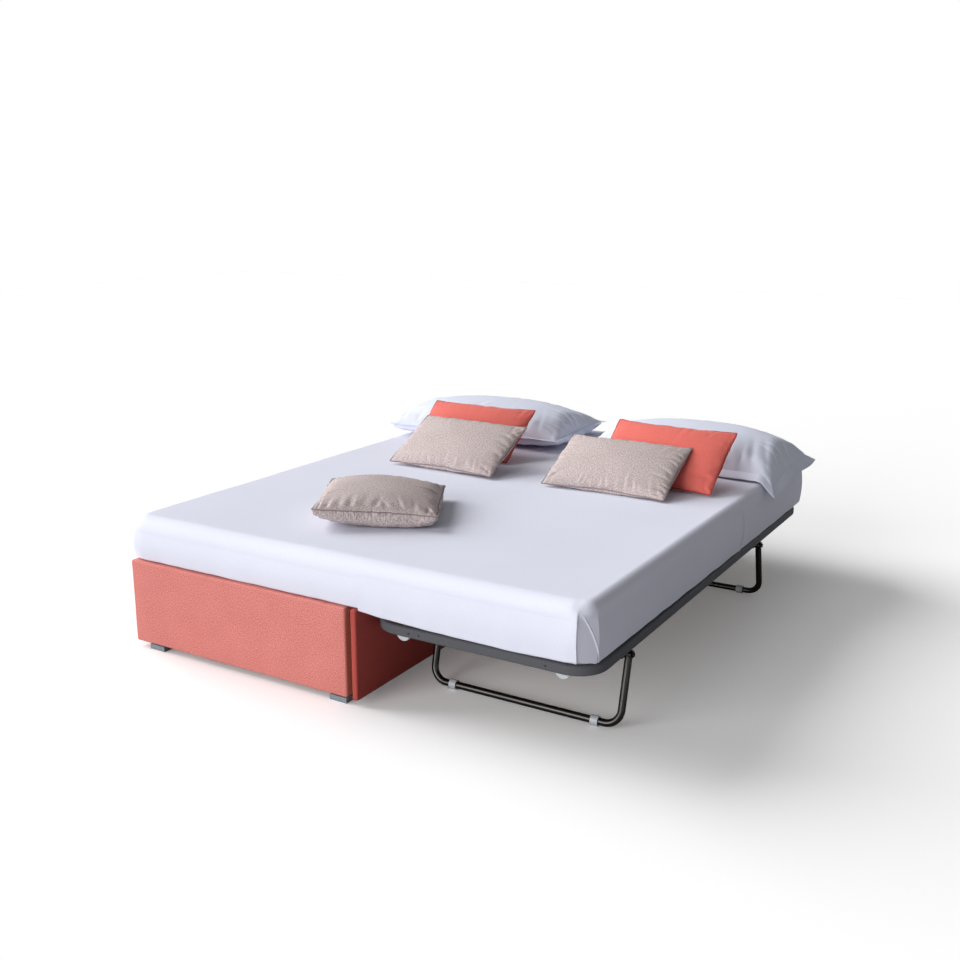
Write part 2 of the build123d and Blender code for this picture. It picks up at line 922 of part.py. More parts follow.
def pullout_bedding():
    """Makes what lies on the pull-out: mattress, sheet, pillow and cushions."""
    x = (pullout_mattress_left, pullout_mattress_right)
    y = (mattress_foot, mattress_foot + pullout_mattress_length)
    dressed_mattress(x, y, deck_top, "pullout")
    for name, shares, angles in (
        ("right_coral_cushion", right_coral_place_shares, right_coral_angles),
        ("right_beige_cushion", right_beige_place_shares, right_beige_angles),
    ):
        base = leaning_base(x, pullout_mattress_length, shares, angles, cushion_width)
        keep(small_cushion_form(base), name)
    base = flat_base(
        x[1] + pillow_overhang - pillow_length / 2,
        mattress_foot + right_pillow_head_share * pullout_mattress_length,
        right_pillow_turn,
        pillow_height * pillow_seam_share,
    )
    keep(pillow_form(base), "right_pillow")


os.makedirs("parts", exist_ok=True)
end_panel(box_foot, 1, "foot_panel")
end_panel(box_head, -1, "head_panel")
left_panel()
front_panel()
front_panel_hangers()
block_feet()
box_rails()
corner_brackets()
frame_bolts()
box_slats()
straight_tubes()
corner_bends()
cross_tubes()
pullout_slats()
leg_brackets()
pivot_bolts()
leg(front_pivot_y, front_bar_y, "front")
leg(rear_pivot_y, rear_bar_y, "rear")
wheel_sets()
box_bedding()
pullout_bedding()
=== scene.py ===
import logging
import math
from dataclasses import dataclass
from enum import Enum
from typing import Callable

import bpy
import numpy as np
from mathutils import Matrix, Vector


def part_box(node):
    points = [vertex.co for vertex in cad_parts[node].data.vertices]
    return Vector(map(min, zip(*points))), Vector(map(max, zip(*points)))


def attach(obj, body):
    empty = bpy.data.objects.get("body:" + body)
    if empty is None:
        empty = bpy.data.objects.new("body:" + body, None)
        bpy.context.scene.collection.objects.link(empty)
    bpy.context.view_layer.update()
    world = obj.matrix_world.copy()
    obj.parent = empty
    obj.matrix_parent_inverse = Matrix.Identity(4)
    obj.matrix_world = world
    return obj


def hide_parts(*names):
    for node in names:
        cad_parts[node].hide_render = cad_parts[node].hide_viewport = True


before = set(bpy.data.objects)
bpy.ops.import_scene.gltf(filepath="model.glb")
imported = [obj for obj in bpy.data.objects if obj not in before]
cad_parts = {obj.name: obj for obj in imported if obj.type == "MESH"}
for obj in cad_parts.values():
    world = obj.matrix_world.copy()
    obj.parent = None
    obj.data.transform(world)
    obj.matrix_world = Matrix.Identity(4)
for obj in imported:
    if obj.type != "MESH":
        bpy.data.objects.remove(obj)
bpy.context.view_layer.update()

logging.basicConfig(level=logging.INFO, format="%(message)s")
log = logging.getLogger("beds")

Array = np.ndarray
MM = 0.001
BED_TOP = 430 * MM  # the height of both sheets' upper faces


# Small tools for colours, nodes and meshes


def linear(code: str) -> tuple[float, float, float, float]:
    """Turns an sRGB hex value into a linear colour.

    Args:
        code: Six hex digits, as "d8857f".

    Returns:
        Red, green and blue from 0 to 1, and an alpha of 1.
    """
    parts = np.array([int(code[at:at + 2], 16) for at in (0, 2, 4)]) / 255.0
    parts = np.where(parts <= 0.04045, parts / 12.92, ((parts + 0.055) / 1.055) ** 2.4)
    return (float(parts[0]), float(parts[1]), float(parts[2]), 1.0)


def add_node(
    tree: bpy.types.NodeTree,
    kind: str,
    settings: dict[str, object] | None = None,
    values: dict[str | int, object] | None = None,
    links: dict[str | int, bpy.types.NodeSocket] | None = None,
) -> bpy.types.Node:
    """Adds one shader node.

    Args:
        tree: The node tree that gets it.
        kind: The node's type name.
        settings: The node's own attributes.
        values: Constants for its input sockets.
        links: The outputs that its input sockets take.

    Returns:
        The new node.
    """
    node = tree.nodes.new(kind)
    for name, value in (settings or {}).items():
        setattr(node, name, value)
    for socket, value in (values or {}).items():
        node.inputs[socket].default_value = value
    for socket, output in (links or {}).items():
        tree.links.new(output, node.inputs[socket])
    return node


def empty_tree(owner: bpy.types.Material | bpy.types.World) -> bpy.types.NodeTree:
    """Gives a material's or world's node tree with nothing in it."""
    owner.use_nodes = True
    owner.node_tree.nodes.clear()
    return owner.node_tree


def in_scene(name: str, data: bpy.types.ID) -> bpy.types.Object:
    """Makes an object of a mesh, camera or lamp and puts it in the scene."""
    thing = bpy.data.objects.new(name, data)
    bpy.context.scene.collection.objects.link(thing)
    return thing


def grid_faces(rows: int, columns: int, closed: bool = False) -> Array:
    """Gives the four-cornered faces of a grid of points.

    Args:
        rows: How many rows of points.
        columns: How many points in a row.
        closed: Whether the last point of a row joins the first.

    Returns:
        An array of faces by four point numbers, anticlockwise where rows run
        up and columns run right.
    """
    numbers = np.arange(rows * columns).reshape(rows, columns)
    if closed:
        numbers = np.hstack([numbers, numbers[:, :1]])
    corners = (numbers[:-1, :-1], numbers[:-1, 1:], numbers[1:, 1:], numbers[1:, :-1])
    return np.stack([corner.ravel() for corner in corners], axis=1)


def new_piece(
    name: str,
    points: Array,
    faces: list[Array],
    finish: "Finish",
    body: str,
    flat: Array | None = None,
    stands_for: tuple[str, ...] = (),
) -> bpy.types.Object:
    """Makes a smooth mesh object in the row's frame and hands it to its body.

    Args:
        name: The piece's name.
        points: Points by three, in metres.
        faces: Arrays of faces by point numbers, one array for each face size.
        finish: The finish that it wears.
        body: The body that it rides on.
        flat: Points by two, the place of each point on the flat cloth in metres.
        stands_for: The frame's solids that it replaces.

    Returns:
        The object.
    """
    mesh = bpy.data.meshes.new(name)
    points = np.ascontiguousarray(points.reshape(-1, 3), dtype=np.float32)
    loops = np.concatenate([part.ravel() for part in faces]).astype(np.int32)
    sizes = np.concatenate([np.full(len(part), part.shape[1]) for part in faces]).astype(np.int32)
    starts = np.concatenate([[0], np.cumsum(sizes)[:-1]]).astype(np.int32)
    mesh.vertices.add(len(points))
    mesh.vertices.foreach_set("co", points.ravel())
    mesh.loops.add(len(loops))
    mesh.loops.foreach_set("vertex_index", loops)
    mesh.polygons.add(len(sizes))
    mesh.polygons.foreach_set("loop_start", starts)
    mesh.polygons.foreach_set("loop_total", sizes)
    mesh.update(calc_edges=True)
    mesh.validate()
    mesh.polygons.foreach_set("use_smooth", np.ones(len(mesh.polygons), dtype=bool))
    if flat is not None:
        layer = mesh.uv_layers.new(name="cloth")
        layer.data.foreach_set("uv", flat.reshape(-1, 2)[loops].astype(np.float32).ravel())
    mesh.materials.append(finish.material())
    piece = in_scene(name, mesh)
    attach(piece, body)
    if stands_for:
        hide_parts(*stands_for)
    log.info("%s: %d points", name, len(points))
    return piece


def waves(places: Array, length: float, seed: int, count: int = 7) -> Array:
    """Smooth unevenness: a sum of sine waves that run in different directions.

    Args:
        places: Points by two or three, in metres.
        length: The middle wave length in metres.
        seed: Chooses the directions and phases.
        count: How many waves.

    Returns:
        One value for each point, mostly between -1 and 1.
    """
    chance = np.random.default_rng(seed)
    directions = chance.normal(size=(count, places.shape[-1]))
    directions /= np.linalg.norm(directions, axis=1, keepdims=True)
    steps = 2 * math.pi / (length * chance.uniform(0.6, 1.6, size=(count, 1)))
    phases = chance.uniform(0, 2 * math.pi, size=count)
    return np.sin(places @ (directions * steps).T + phases).sum(axis=-1) / math.sqrt(count)


def smooth_step(values: Array, low: float, high: float) -> Array:
    """Rises from 0 at low to 1 at high with level ends."""
    share = np.clip((values - low) / (high - low), 0.0, 1.0)
    return share * share * (3.0 - 2.0 * share)


# Finishes


@dataclass(frozen=True)
class Finish:
    """A surface finish, made into one material and shared by all that wears it."""

    name: str

    def material(self) -> bpy.types.Material:
        """Gives the finish's material, which is made at the first call."""
        found = bpy.data.materials.get(self.name)
        if found is not None:
            return found
        material = bpy.data.materials.new(self.name)
        tree = empty_tree(material)
        shader = add_node(tree, "ShaderNodeBsdfPrincipled")
        self.dress(tree, shader)
        add_node(tree, "ShaderNodeOutputMaterial", links={"Surface": shader.outputs["BSDF"]})
        return material

    def dress(self, tree: bpy.types.NodeTree, shader: bpy.types.Node) -> None:
        """Adds the finish's nodes to the shader."""
        raise NotImplementedError


@dataclass(frozen=True)
class WovenCloth(Finish):
    """Woven cloth whose pattern follows the flat cloth that the piece was cut from.

    Thick and thin threads give the eye short streaks both ways, and the nap
    gives a soft brightening where the surface turns away. A pitch too fine for
    the picture is drawn as coarse as it needs to show.

    Attributes:
        light: The light yarn's colour.
        dark: The dark yarn's colour.
        thread_mm: The threads' spacing.
        streak_mm: How long a thick or thin place in a thread is.
        contrast: How clearly the two yarns show apart.
        relief_mm: The weave's height.
        roughness: Nearly 1 for dry, matt cloth.
        sheen: The nap's share.
        crease_mm: The height of soft creases.
    """

    light: str
    dark: str
    thread_mm: float
    streak_mm: float
    contrast: float
    relief_mm: float
    roughness: float
    sheen: float
    crease_mm: float = 0.0

    def dress(self, tree: bpy.types.NodeTree, shader: bpy.types.Node) -> None:
        """Adds streaked threads, a slow change of shade and the weave's relief."""
        flat = add_node(tree, "ShaderNodeTexCoord").outputs["UV"]
        across = 1000.0 / self.thread_mm
        along = 1000.0 / self.streak_mm
        threads = []
        for scale in ((across, along, 1.0), (along, across, 1.0)):
            place = add_node(
                tree, "ShaderNodeMapping", values={"Scale": scale}, links={"Vector": flat},
            )
            threads.append(
                add_node(
                    tree, "ShaderNodeTexNoise",
                    values={"Scale": 1.0, "Detail": 1.5, "Roughness": 0.6},
                    links={"Vector": place.outputs["Vector"]},
                ).outputs["Fac"]
            )
        mixed = add_node(
            tree, "ShaderNodeMath", {"operation": "ADD"}, links={0: threads[0], 1: threads[1]},
        ).outputs[0]
        slow = add_node(
            tree, "ShaderNodeTexNoise", values={"Scale": 9.0, "Detail": 2.0},
            links={"Vector": flat},
        ).outputs["Fac"]
        shade = add_node(
            tree, "ShaderNodeMapRange",
            values={"From Min": 1.0 - 0.5 / self.contrast, "From Max": 1.0 + 0.5 / self.contrast},
            links={"Value": mixed},
        ).outputs["Result"]
        drifting = add_node(
            tree, "ShaderNodeMath", {"operation": "MULTIPLY_ADD"}, values={1: 0.35, 2: -0.175},
            links={0: slow},
        ).outputs[0]
        share = add_node(
            tree, "ShaderNodeMath", {"operation": "ADD", "use_clamp": True},
            links={0: shade, 1: drifting},
        ).outputs[0]
        colour = add_node(
            tree, "ShaderNodeMix", {"data_type": "RGBA"},
            values={6: linear(self.dark), 7: linear(self.light)}, links={0: share},
        ).outputs[2]
        tree.links.new(colour, shader.inputs["Base Color"])
        relief = add_node(
            tree, "ShaderNodeBump", values={"Strength": 1.0, "Distance": self.relief_mm * MM},
            links={"Height": mixed},
        )
        if self.crease_mm:
            creases = add_node(
                tree, "ShaderNodeTexNoise",
                values={"Scale": 38.0, "Detail": 2.0, "Distortion": 0.6}, links={"Vector": flat},
            )
            relief = add_node(
                tree, "ShaderNodeBump",
                values={"Strength": 1.0, "Distance": self.crease_mm * MM},
                links={"Height": creases.outputs["Fac"], "Normal": relief.outputs["Normal"]},
            )
        tree.links.new(relief.outputs["Normal"], shader.inputs["Normal"])
        shader.inputs["Roughness"].default_value = self.roughness
        shader.inputs["Sheen Weight"].default_value = self.sheen
        shader.inputs["Sheen Roughness"].default_value = 0.5
        shader.inputs["Specular IOR Level"].default_value = 0.12


@dataclass(frozen=True)
class PowderCoat(Finish):
    """Steel under baked powder paint: a faint orange peel that breaks up its gloss.

    Attributes:
        colour: The paint's colour.
        roughness: Its middle roughness.
        metallic: The share of metal flakes.
        peel_mm: The distance between the peel's bumps.
        gloss: The specular level.
    """

    colour: str
    roughness: float
    metallic: float = 0.0
    peel_mm: float = 1.6
    gloss: float = 0.5

    def dress(self, tree: bpy.types.NodeTree, shader: bpy.types.Node) -> None:
        """Adds the paint's fine peel and a slight change of gloss where hands rub it."""
        place = add_node(tree, "ShaderNodeTexCoord").outputs["Object"]
        peel = add_node(
            tree, "ShaderNodeTexNoise", values={"Scale": 1000.0 / self.peel_mm, "Detail": 1.0},
            links={"Vector": place},
        ).outputs["Fac"]
        rubbed = add_node(
            tree, "ShaderNodeTexNoise", values={"Scale": 14.0, "Detail": 3.0},
            links={"Vector": place},
        ).outputs["Fac"]
        gloss = add_node(
            tree, "ShaderNodeMapRange",
            values={
                "From Min": 0.3, "From Max": 0.7,
                "To Min": self.roughness - 0.06, "To Max": self.roughness + 0.06,
            },
            links={"Value": rubbed},
        ).outputs["Result"]
        relief = add_node(
            tree, "ShaderNodeBump", values={"Strength": 0.4, "Distance": 0.05 * MM},
            links={"Height": peel},
        )
        tree.links.new(gloss, shader.inputs["Roughness"])
        tree.links.new(relief.outputs["Normal"], shader.inputs["Normal"])
        shader.inputs["Base Color"].default_value = linear(self.colour)
        shader.inputs["Metallic"].default_value = self.metallic
        shader.inputs["Specular IOR Level"].default_value = self.gloss


@dataclass(frozen=True)
class PlatedSteel(Finish):
    """Plated steel tube or bolt: bright along its length, with faint draw marks.

    Attributes:
        colour: The plating's colour.
        roughness: Its middle roughness.
        grain_mm: The distance between draw marks.
    """

    colour: str
    roughness: float
    grain_mm: float = 0.8

    def dress(self, tree: bpy.types.NodeTree, shader: bpy.types.Node) -> None:
        """Adds long draw marks that vary the gloss."""
        place = add_node(tree, "ShaderNodeTexCoord").outputs["Object"]
        across = 1000.0 / self.grain_mm
        stretched = add_node(
            tree, "ShaderNodeMapping", values={"Scale": (across / 30.0, across, across)},
            links={"Vector": place},
        )
        marks = add_node(
            tree, "ShaderNodeTexNoise", values={"Scale": 1.0, "Detail": 2.0},
            links={"Vector": stretched.outputs["Vector"]},
        ).outputs["Fac"]
        gloss = add_node(
            tree, "ShaderNodeMapRange",
            values={"To Min": self.roughness - 0.07, "To Max": self.roughness + 0.07},
            links={"Value": marks},
        ).outputs["Result"]
        tree.links.new(gloss, shader.inputs["Roughness"])
        shader.inputs["Base Color"].default_value = linear(self.colour)
        shader.inputs["Metallic"].default_value = 1.0


@dataclass(frozen=True)
class MouldedPlastic(Finish):
    """Injection-moulded plastic: even colour, a fine spark-eroded texture, soft gloss.

    Attributes:
        colour: The plastic's colour.
        roughness: Its roughness.
        clear: How much light passes through.
    """

    colour: str
    roughness: float
    clear: float = 0.0

    def dress(self, tree: bpy.types.NodeTree, shader: bpy.types.Node) -> None:
        """Adds the mould's fine texture."""
        place = add_node(tree, "ShaderNodeTexCoord").outputs["Object"]
        pits = add_node(
            tree, "ShaderNodeTexNoise", values={"Scale": 900.0, "Detail": 2.0},
            links={"Vector": place},
        ).outputs["Fac"]
        relief = add_node(
            tree, "ShaderNodeBump", values={"Strength": 0.5, "Distance": 0.06 * MM},
            links={"Height": pits},
        )
        tree.links.new(relief.outputs["Normal"], shader.inputs["Normal"])
        shader.inputs["Base Color"].default_value = linear(self.colour)
        shader.inputs["Roughness"].default_value = self.roughness
        shader.inputs["Transmission Weight"].default_value = self.clear


@dataclass(frozen=True)
class BeechVeneer(Finish):
    """Rotary-cut beech: fine grain along the slat, short dark flecks, satin lacquer.

    Attributes:
        light: The early wood's colour.
        dark: The flecks' colour.
        grain_mm: The grain's width.
    """

    light: str
    dark: str
    grain_mm: float = 3.0

    def dress(self, tree: bpy.types.NodeTree, shader: bpy.types.Node) -> None:
        """Adds grain and flecks that run along X."""
        place = add_node(tree, "ShaderNodeTexCoord").outputs["Object"]
        across = 1000.0 / self.grain_mm
        stretched = add_node(
            tree, "ShaderNodeMapping", values={"Scale": (across / 25.0, across, across)},
            links={"Vector": place},
        ).outputs["Vector"]
        grain = add_node(
            tree, "ShaderNodeTexNoise", values={"Scale": 1.0, "Detail": 5.0, "Distortion": 0.4},
            links={"Vector": stretched},
        ).outputs["Fac"]
        colour = add_node(
            tree, "ShaderNodeMix", {"data_type": "RGBA"},
            values={6: linear(self.dark), 7: linear(self.light)}, links={0: grain},
        ).outputs[2]
        relief = add_node(
            tree, "ShaderNodeBump", values={"Strength": 0.5, "Distance": 0.1 * MM},
            links={"Height": grain},
        )
        tree.links.new(colour, shader.inputs["Base Color"])
        tree.links.new(relief.outputs["Normal"], shader.inputs["Normal"])
        shader.inputs["Roughness"].default_value = 0.42


@dataclass(frozen=True)
class ChipBoard(Finish):
    """Pressed wood chips: flat flakes a few millimetres wide in several browns.

    Attributes:
        light: The lightest flakes' colour.
        dark: The darkest flakes' colour.
        chip_mm: The flakes' width.
    """

    light: str
    dark: str
    chip_mm: float = 4.0

    def dress(self, tree: bpy.types.NodeTree, shader: bpy.types.Node) -> None:
        """Adds the flakes."""
        place = add_node(tree, "ShaderNodeTexCoord").outputs["Object"]
        flakes = add_node(
            tree, "ShaderNodeTexVoronoi",
            values={"Scale": 1000.0 / self.chip_mm, "Randomness": 1.0}, links={"Vector": place},
        )
        tone = add_node(
            tree, "ShaderNodeSeparateColor", links={"Color": flakes.outputs["Color"]},
        ).outputs[0]
        colour = add_node(
            tree, "ShaderNodeMix", {"data_type": "RGBA"},
            values={6: linear(self.dark), 7: linear(self.light)}, links={0: tone},
        ).outputs[2]
        relief = add_node(
            tree, "ShaderNodeBump", values={"Strength": 0.5, "Distance": 0.2 * MM},
            links={"Height": flakes.outputs["Distance"]},
        )
        tree.links.new(colour, shader.inputs["Base Color"])
        tree.links.new(relief.outputs["Normal"], shader.inputs["Normal"])
        shader.inputs["Roughness"].default_value = 0.8


# Upholstery of recycled polyester in two coral yarns, which read as one warm, dusty coral
CORAL_UPHOLSTERY = WovenCloth(
    "melange_coral_upholstery", "e8958d", "c26d66", 2.4, 4.0, 2.4, 0.35, 0.92, 0.05, 0.4
)
# The same coral weave, darkened and deepened to paint the shade on the panel that stands against
# the pull-out
SHADED_CORAL_UPHOLSTERY = WovenCloth(
    "coral_upholstery_painted_shade", "bc5750", "a84841", 2.0, 4.0, 2.4, 0.3, 0.92, 0.03, 0.4
)
# Percale sheet: threads too fine to see, so only a silky evenness and soft creases show
PERCALE = WovenCloth(
    "lavender_white_percale", "e3e5f2", "dddfee", 1.6, 14.0, 1.2, 0.04, 0.75, 0.04, 0.25
)
PILLOW_PERCALE = WovenCloth(
    "white_percale", "e1e5f4", "d8dcec", 1.6, 14.0, 1.2, 0.04, 0.75, 0.04, 0.3
)
# Brushed cotton, dyed in the piece: an even coral with a dry, matt face
CORAL_COTTON = WovenCloth(
    "coral_brushed_cotton", "df7066", "d16359", 2.0, 7.0, 2.0, 0.15, 0.9, 0.15, 0.3
)
# Linen with slubs in cream and grey-brown yarn
BEIGE_LINEN = WovenCloth(
    "beige_slub_linen", "d9cbc9", "988a88", 2.0, 6.0, 2.2, 0.3, 0.9, 0.05, 0.4
)
# Piping cord in the cushions' own twill, coloured darker to paint the shade in the seam's groove
BEIGE_CORD_PAINTED_SHADE = WovenCloth("beige_cord_painted_shade", "9c8c89", "84757a", 1.5, 2.5, 2.0, 0.1, 0.9, 0.05)
CORAL_CORD_PAINTED_SHADE = WovenCloth("coral_cord_painted_shade", "b84a40", "a04038", 1.5, 2.5, 2.0, 0.1, 0.9, 0.05)
# Mattress ticking: a close white twill
TICKING = WovenCloth("white_ticking", "e6e6e4", "d2d2d0", 2.5, 6.0, 2.0, 0.3, 0.85, 0.05, 1.5)

CHIPBOARD = ChipBoard("pressed_chipboard", "c9a778", "8d6a42")
BEECH = BeechVeneer("beech_veneer", "dcb98c", "b98a5a")
FRAME_COAT = PowderCoat("anthracite_powder_coat", "5d5e62", 0.6, gloss=0.06)
RAIL_COAT = PowderCoat("black_powder_coat", "1d1e20", 0.55, gloss=0.2)
FOOT_LACQUER = PowderCoat("silver_lacquer", "858e94", 0.5, gloss=0.15)
BLACK_NICKEL = PlatedSteel("black_nickel_plate", "3f3c3c", 0.3)
ZINC = PlatedSteel("zinc_plate", "c3c7cb", 0.36)
BLACK_OXIDE = PlatedSteel("black_oxide_steel", "2c2b2b", 0.45)
HOLDER_PLASTIC = MouldedPlastic("black_polypropylene", "1f2022", 0.45)
COLLAR_PLASTIC = MouldedPlastic("grey_polypropylene", "b8bcc2", 0.4)
WHEEL_PLASTIC = MouldedPlastic("milky_polyamide", "dfe3e6", 0.3, 0.25)

CAD_FINISHES: dict[str, Finish] = {
    "foot_panel_board": CHIPBOARD,
    "head_panel_board": CHIPBOARD,
    "left_side_board": CHIPBOARD,
    "front_panel_board": CHIPBOARD,
    "front_panel_hangers": RAIL_COAT,
    "block_feet": FOOT_LACQUER,
    "box_left_rail": RAIL_COAT,
    "box_right_rail": RAIL_COAT,
    "box_foot_rail": RAIL_COAT,
    "box_head_rail": RAIL_COAT,
    "corner_brackets": RAIL_COAT,
    "frame_bolts": ZINC,
    "box_slats": BEECH,
    "box_slat_holders": HOLDER_PLASTIC,
    "pullout_left_tube": FRAME_COAT,
    "pullout_right_tube": FRAME_COAT,
    "pullout_foot_tube": FRAME_COAT,
    "pullout_head_tube": FRAME_COAT,
    "pullout_corner_bends": FRAME_COAT,
    "pullout_cross_tubes": FRAME_COAT,
    "pullout_slats": BEECH,
    "pullout_slat_holders": HOLDER_PLASTIC,
    "leg_brackets": FRAME_COAT,
    "leg_pivot_bolts": BLACK_OXIDE,
    "wheel_plates": ZINC,
    "wheel_axles": ZINC,
    "front_leg_tube": BLACK_NICKEL,
    "rear_leg_tube": BLACK_NICKEL,
    "front_leg_collars": COLLAR_PLASTIC,
    "rear_leg_collars": COLLAR_PLASTIC,
    "foot_left_wheel": WHEEL_PLASTIC,
    "foot_right_wheel": WHEEL_PLASTIC,
    "head_left_wheel": WHEEL_PLASTIC,
    "head_right_wheel": WHEEL_PLASTIC,
}


# Skins over soft boxes


class Facing(Enum):
    """Which way a soft box's broad face looks: its row and column directions."""

    UP = ((1, 0, 0), (0, 1, 0), (0, 0, 1))
    UP_TURNED = ((-1, 0, 0), (0, -1, 0), (0, 0, 1))
    DOWN = ((-1, 0, 0), (0, 1, 0), (0, 0, -1))
    FOOT = ((1, 0, 0), (0, 0, 1), (0, -1, 0))
    HEAD = ((-1, 0, 0), (0, 0, 1), (0, 1, 0))
    LEFT = ((0, -1, 0), (0, 0, 1), (-1, 0, 0))
    RIGHT = ((0, 1, 0), (0, 0, 1), (1, 0, 0))


@dataclass(frozen=True)
class BoxSkin:
    """Cloth pulled over a box: a flat grid bent over its edges and round its corners.

    In the face's plane each grid point has a nearest point of the core, which
    is the face drawn in by the corner radius. Its distance from there, taken as
    the larger of the two overhangs, is the arc length along one profile: flat,
    shoulder arc, side, heel arc, tuck. The profile's slope angle is a table, so
    its reach and depth are the running sums of the angle's cosine and sine.

    With seam set, the low end of the first direction has no profile: the grid
    stops in the seam's plane, and a flat wall hangs from its edge.

    Attributes:
        low: The box's lowest corner in the row's frame.
        high: Its highest corner.
        facing: Which way the broad face looks.
        corner: The radius of the upright corners.
        shoulder: The radius of the edge round the broad face.
        heel: The radius of the far edge.
        tuck: How far the cloth goes on under the box.
        step: The grid's spacing.
        seam: Whether the low end of the first direction is a flat seam.
        bulge: How far the sides swell out.
        fine: Bands of finer grid: the direction's number, start, end and spacing.
    """

    low: tuple[float, float, float]
    high: tuple[float, float, float]
    facing: Facing
    corner: float
    shoulder: float
    heel: float
    tuck: float
    step: float
    seam: bool = False
    bulge: float = 0.0
    fine: tuple[tuple[int, float, float, float], ...] = ()

    def frame(self) -> tuple[Array, Array, float, float, float]:
        """Gives the face's middle, its three directions, half width, half height and depth."""
        directions = np.array(self.facing.value, dtype=float)
        low, high = np.array(self.low), np.array(self.high)
        half = np.abs(directions @ (high - low)) / 2
        middle = (low + high) / 2 + directions[2] * half[2]
        return middle, directions, half[0], half[1], 2 * half[2]

    def profile(self, depth: float) -> tuple[Array, Array, Array, Array]:
        """Gives arc length, slope angle, reach and depth along the profile."""
        runs = (
            (self.corner - self.shoulder, 0.0, 0.0),
            (self.shoulder * math.pi / 2, 0.0, math.pi / 2),
            (depth - self.shoulder - self.heel, math.pi / 2, math.pi / 2),
            (self.heel * math.pi / 2, math.pi / 2, math.pi),
            (self.tuck, math.pi, math.pi),
        )
        lengths, angles = [np.zeros(1)], [np.zeros(1)]
        for length, start, end in runs:
            if length <= 0:
                continue
            share = np.linspace(0, 1, 65)[1:]
            angle = start + (end - start) * share
            if start == end == math.pi / 2 and self.bulge:
                angle = angle - self.bulge / length * math.pi * np.cos(math.pi * share)
            lengths.append(lengths[-1][-1] + length * share)
            angles.append(angle)
        arc, angle = np.concatenate(lengths), np.concatenate(angles)
        step = np.diff(arc)
        middle = (angle[1:] + angle[:-1]) / 2
        reach = np.concatenate([[0], np.cumsum(np.cos(middle) * step)])
        down = np.concatenate([[0], np.cumsum(np.sin(middle) * step)])
        return arc, angle, reach, down

    def lines(self, direction: int, low: float, high: float, arc: Array, angle: Array) -> Array:
        """Gives the grid's places in one direction.

        Args:
            direction: 0 for the first direction, 1 for the second.
            low: The core's low end, from the face's middle.
            high: The core's high end.
            arc: Arc lengths along the profile.
            angle: The slope angle at each of them.

        Returns:
            Rising places, finer where the profile bends and in the fine bands.
        """
        turning = np.abs(np.gradient(angle, arc))
        weight = np.cumsum((1 / self.step + turning / 0.16) * np.gradient(arc))
        weight -= weight[0]
        count = max(4, int(math.ceil(weight[-1])))
        over = np.interp(np.linspace(0, weight[-1], count + 1)[1:], weight, arc)
        inner = np.linspace(low, high, max(3, int((high - low) / self.step) + 1))
        closed = self.seam and direction == 0
        places = np.concatenate([[] if closed else (low - over)[::-1], inner, high + over])
        for number, start, end, spacing in self.fine:
            if number != direction:
                continue
            gaps = np.diff(places)
            inside = (places[:-1] < end) & (places[1:] > start)
            parts = np.where(inside, np.ceil(gaps / spacing), 1).astype(int)
            order = np.arange(parts.sum()) - np.repeat(np.cumsum(parts) - parts, parts)
            places = np.append(
                np.repeat(places[:-1], parts) + order * np.repeat(gaps / parts, parts), places[-1]
            )
        return places

    def cloth(
        self, relief: Callable[[Array, Array], Array] | None = None
    ) -> tuple[Array, Array, Array]:
        """Works out the skin.

        Args:
            relief: Takes the points in the row's frame and their share of the way
                down, and gives how far each stands out along the skin's normal.

        Returns:
            Points, faces and flat places.
        """
        middle, directions, half_a, half_b, depth = self.frame()
        arc, angle, reach, down = self.profile(depth)
        low_a = -half_a if self.seam else self.corner - half_a
        high_a, core_b = half_a - self.corner, half_b - self.corner
        a, b = np.meshgrid(
            self.lines(0, low_a, high_a, arc, angle), self.lines(1, -core_b, core_b, arc, angle)
        )
        over_a = a - np.clip(a, low_a, high_a)
        over_b = b - np.clip(b, -core_b, core_b)
        length = np.maximum(np.abs(over_a), np.abs(over_b))
        away = np.hypot(over_a, over_b) + 1e-12
        out, fall = np.interp(length, arc, reach), np.interp(length, arc, down)
        slope = np.interp(length, arc, angle)
        side_a, side_b = over_a / away, over_b / away
        place = np.stack(
            [
                np.clip(a, low_a, high_a) + side_a * out,
                np.clip(b, -core_b, core_b) + side_b * out,
                -fall,
            ],
            axis=-1,
        )
        normal = np.stack([side_a * np.sin(slope), side_b * np.sin(slope), np.cos(slope)], axis=-1)
        flat = np.stack([a, b], axis=-1)
        points = middle + place @ directions
        if relief is not None:
            points = points + (normal @ directions) * relief(points, fall / depth)[..., None]
        faces = grid_faces(*a.shape)
        if not self.seam:
            return points.reshape(-1, 3), faces, flat.reshape(-1, 2)
        wall, wall_flat = self.seam_wall(points[:, 0], flat[:, 0], middle - directions[2] * depth)
        wall_faces = grid_faces(*wall.shape[:2])[:, ::-1] + a.size
        return (
            np.concatenate([points.reshape(-1, 3), wall.reshape(-1, 3)]),
            np.concatenate([faces, wall_faces]),
            np.concatenate([flat.reshape(-1, 2), wall_flat.reshape(-1, 2)]),
        )

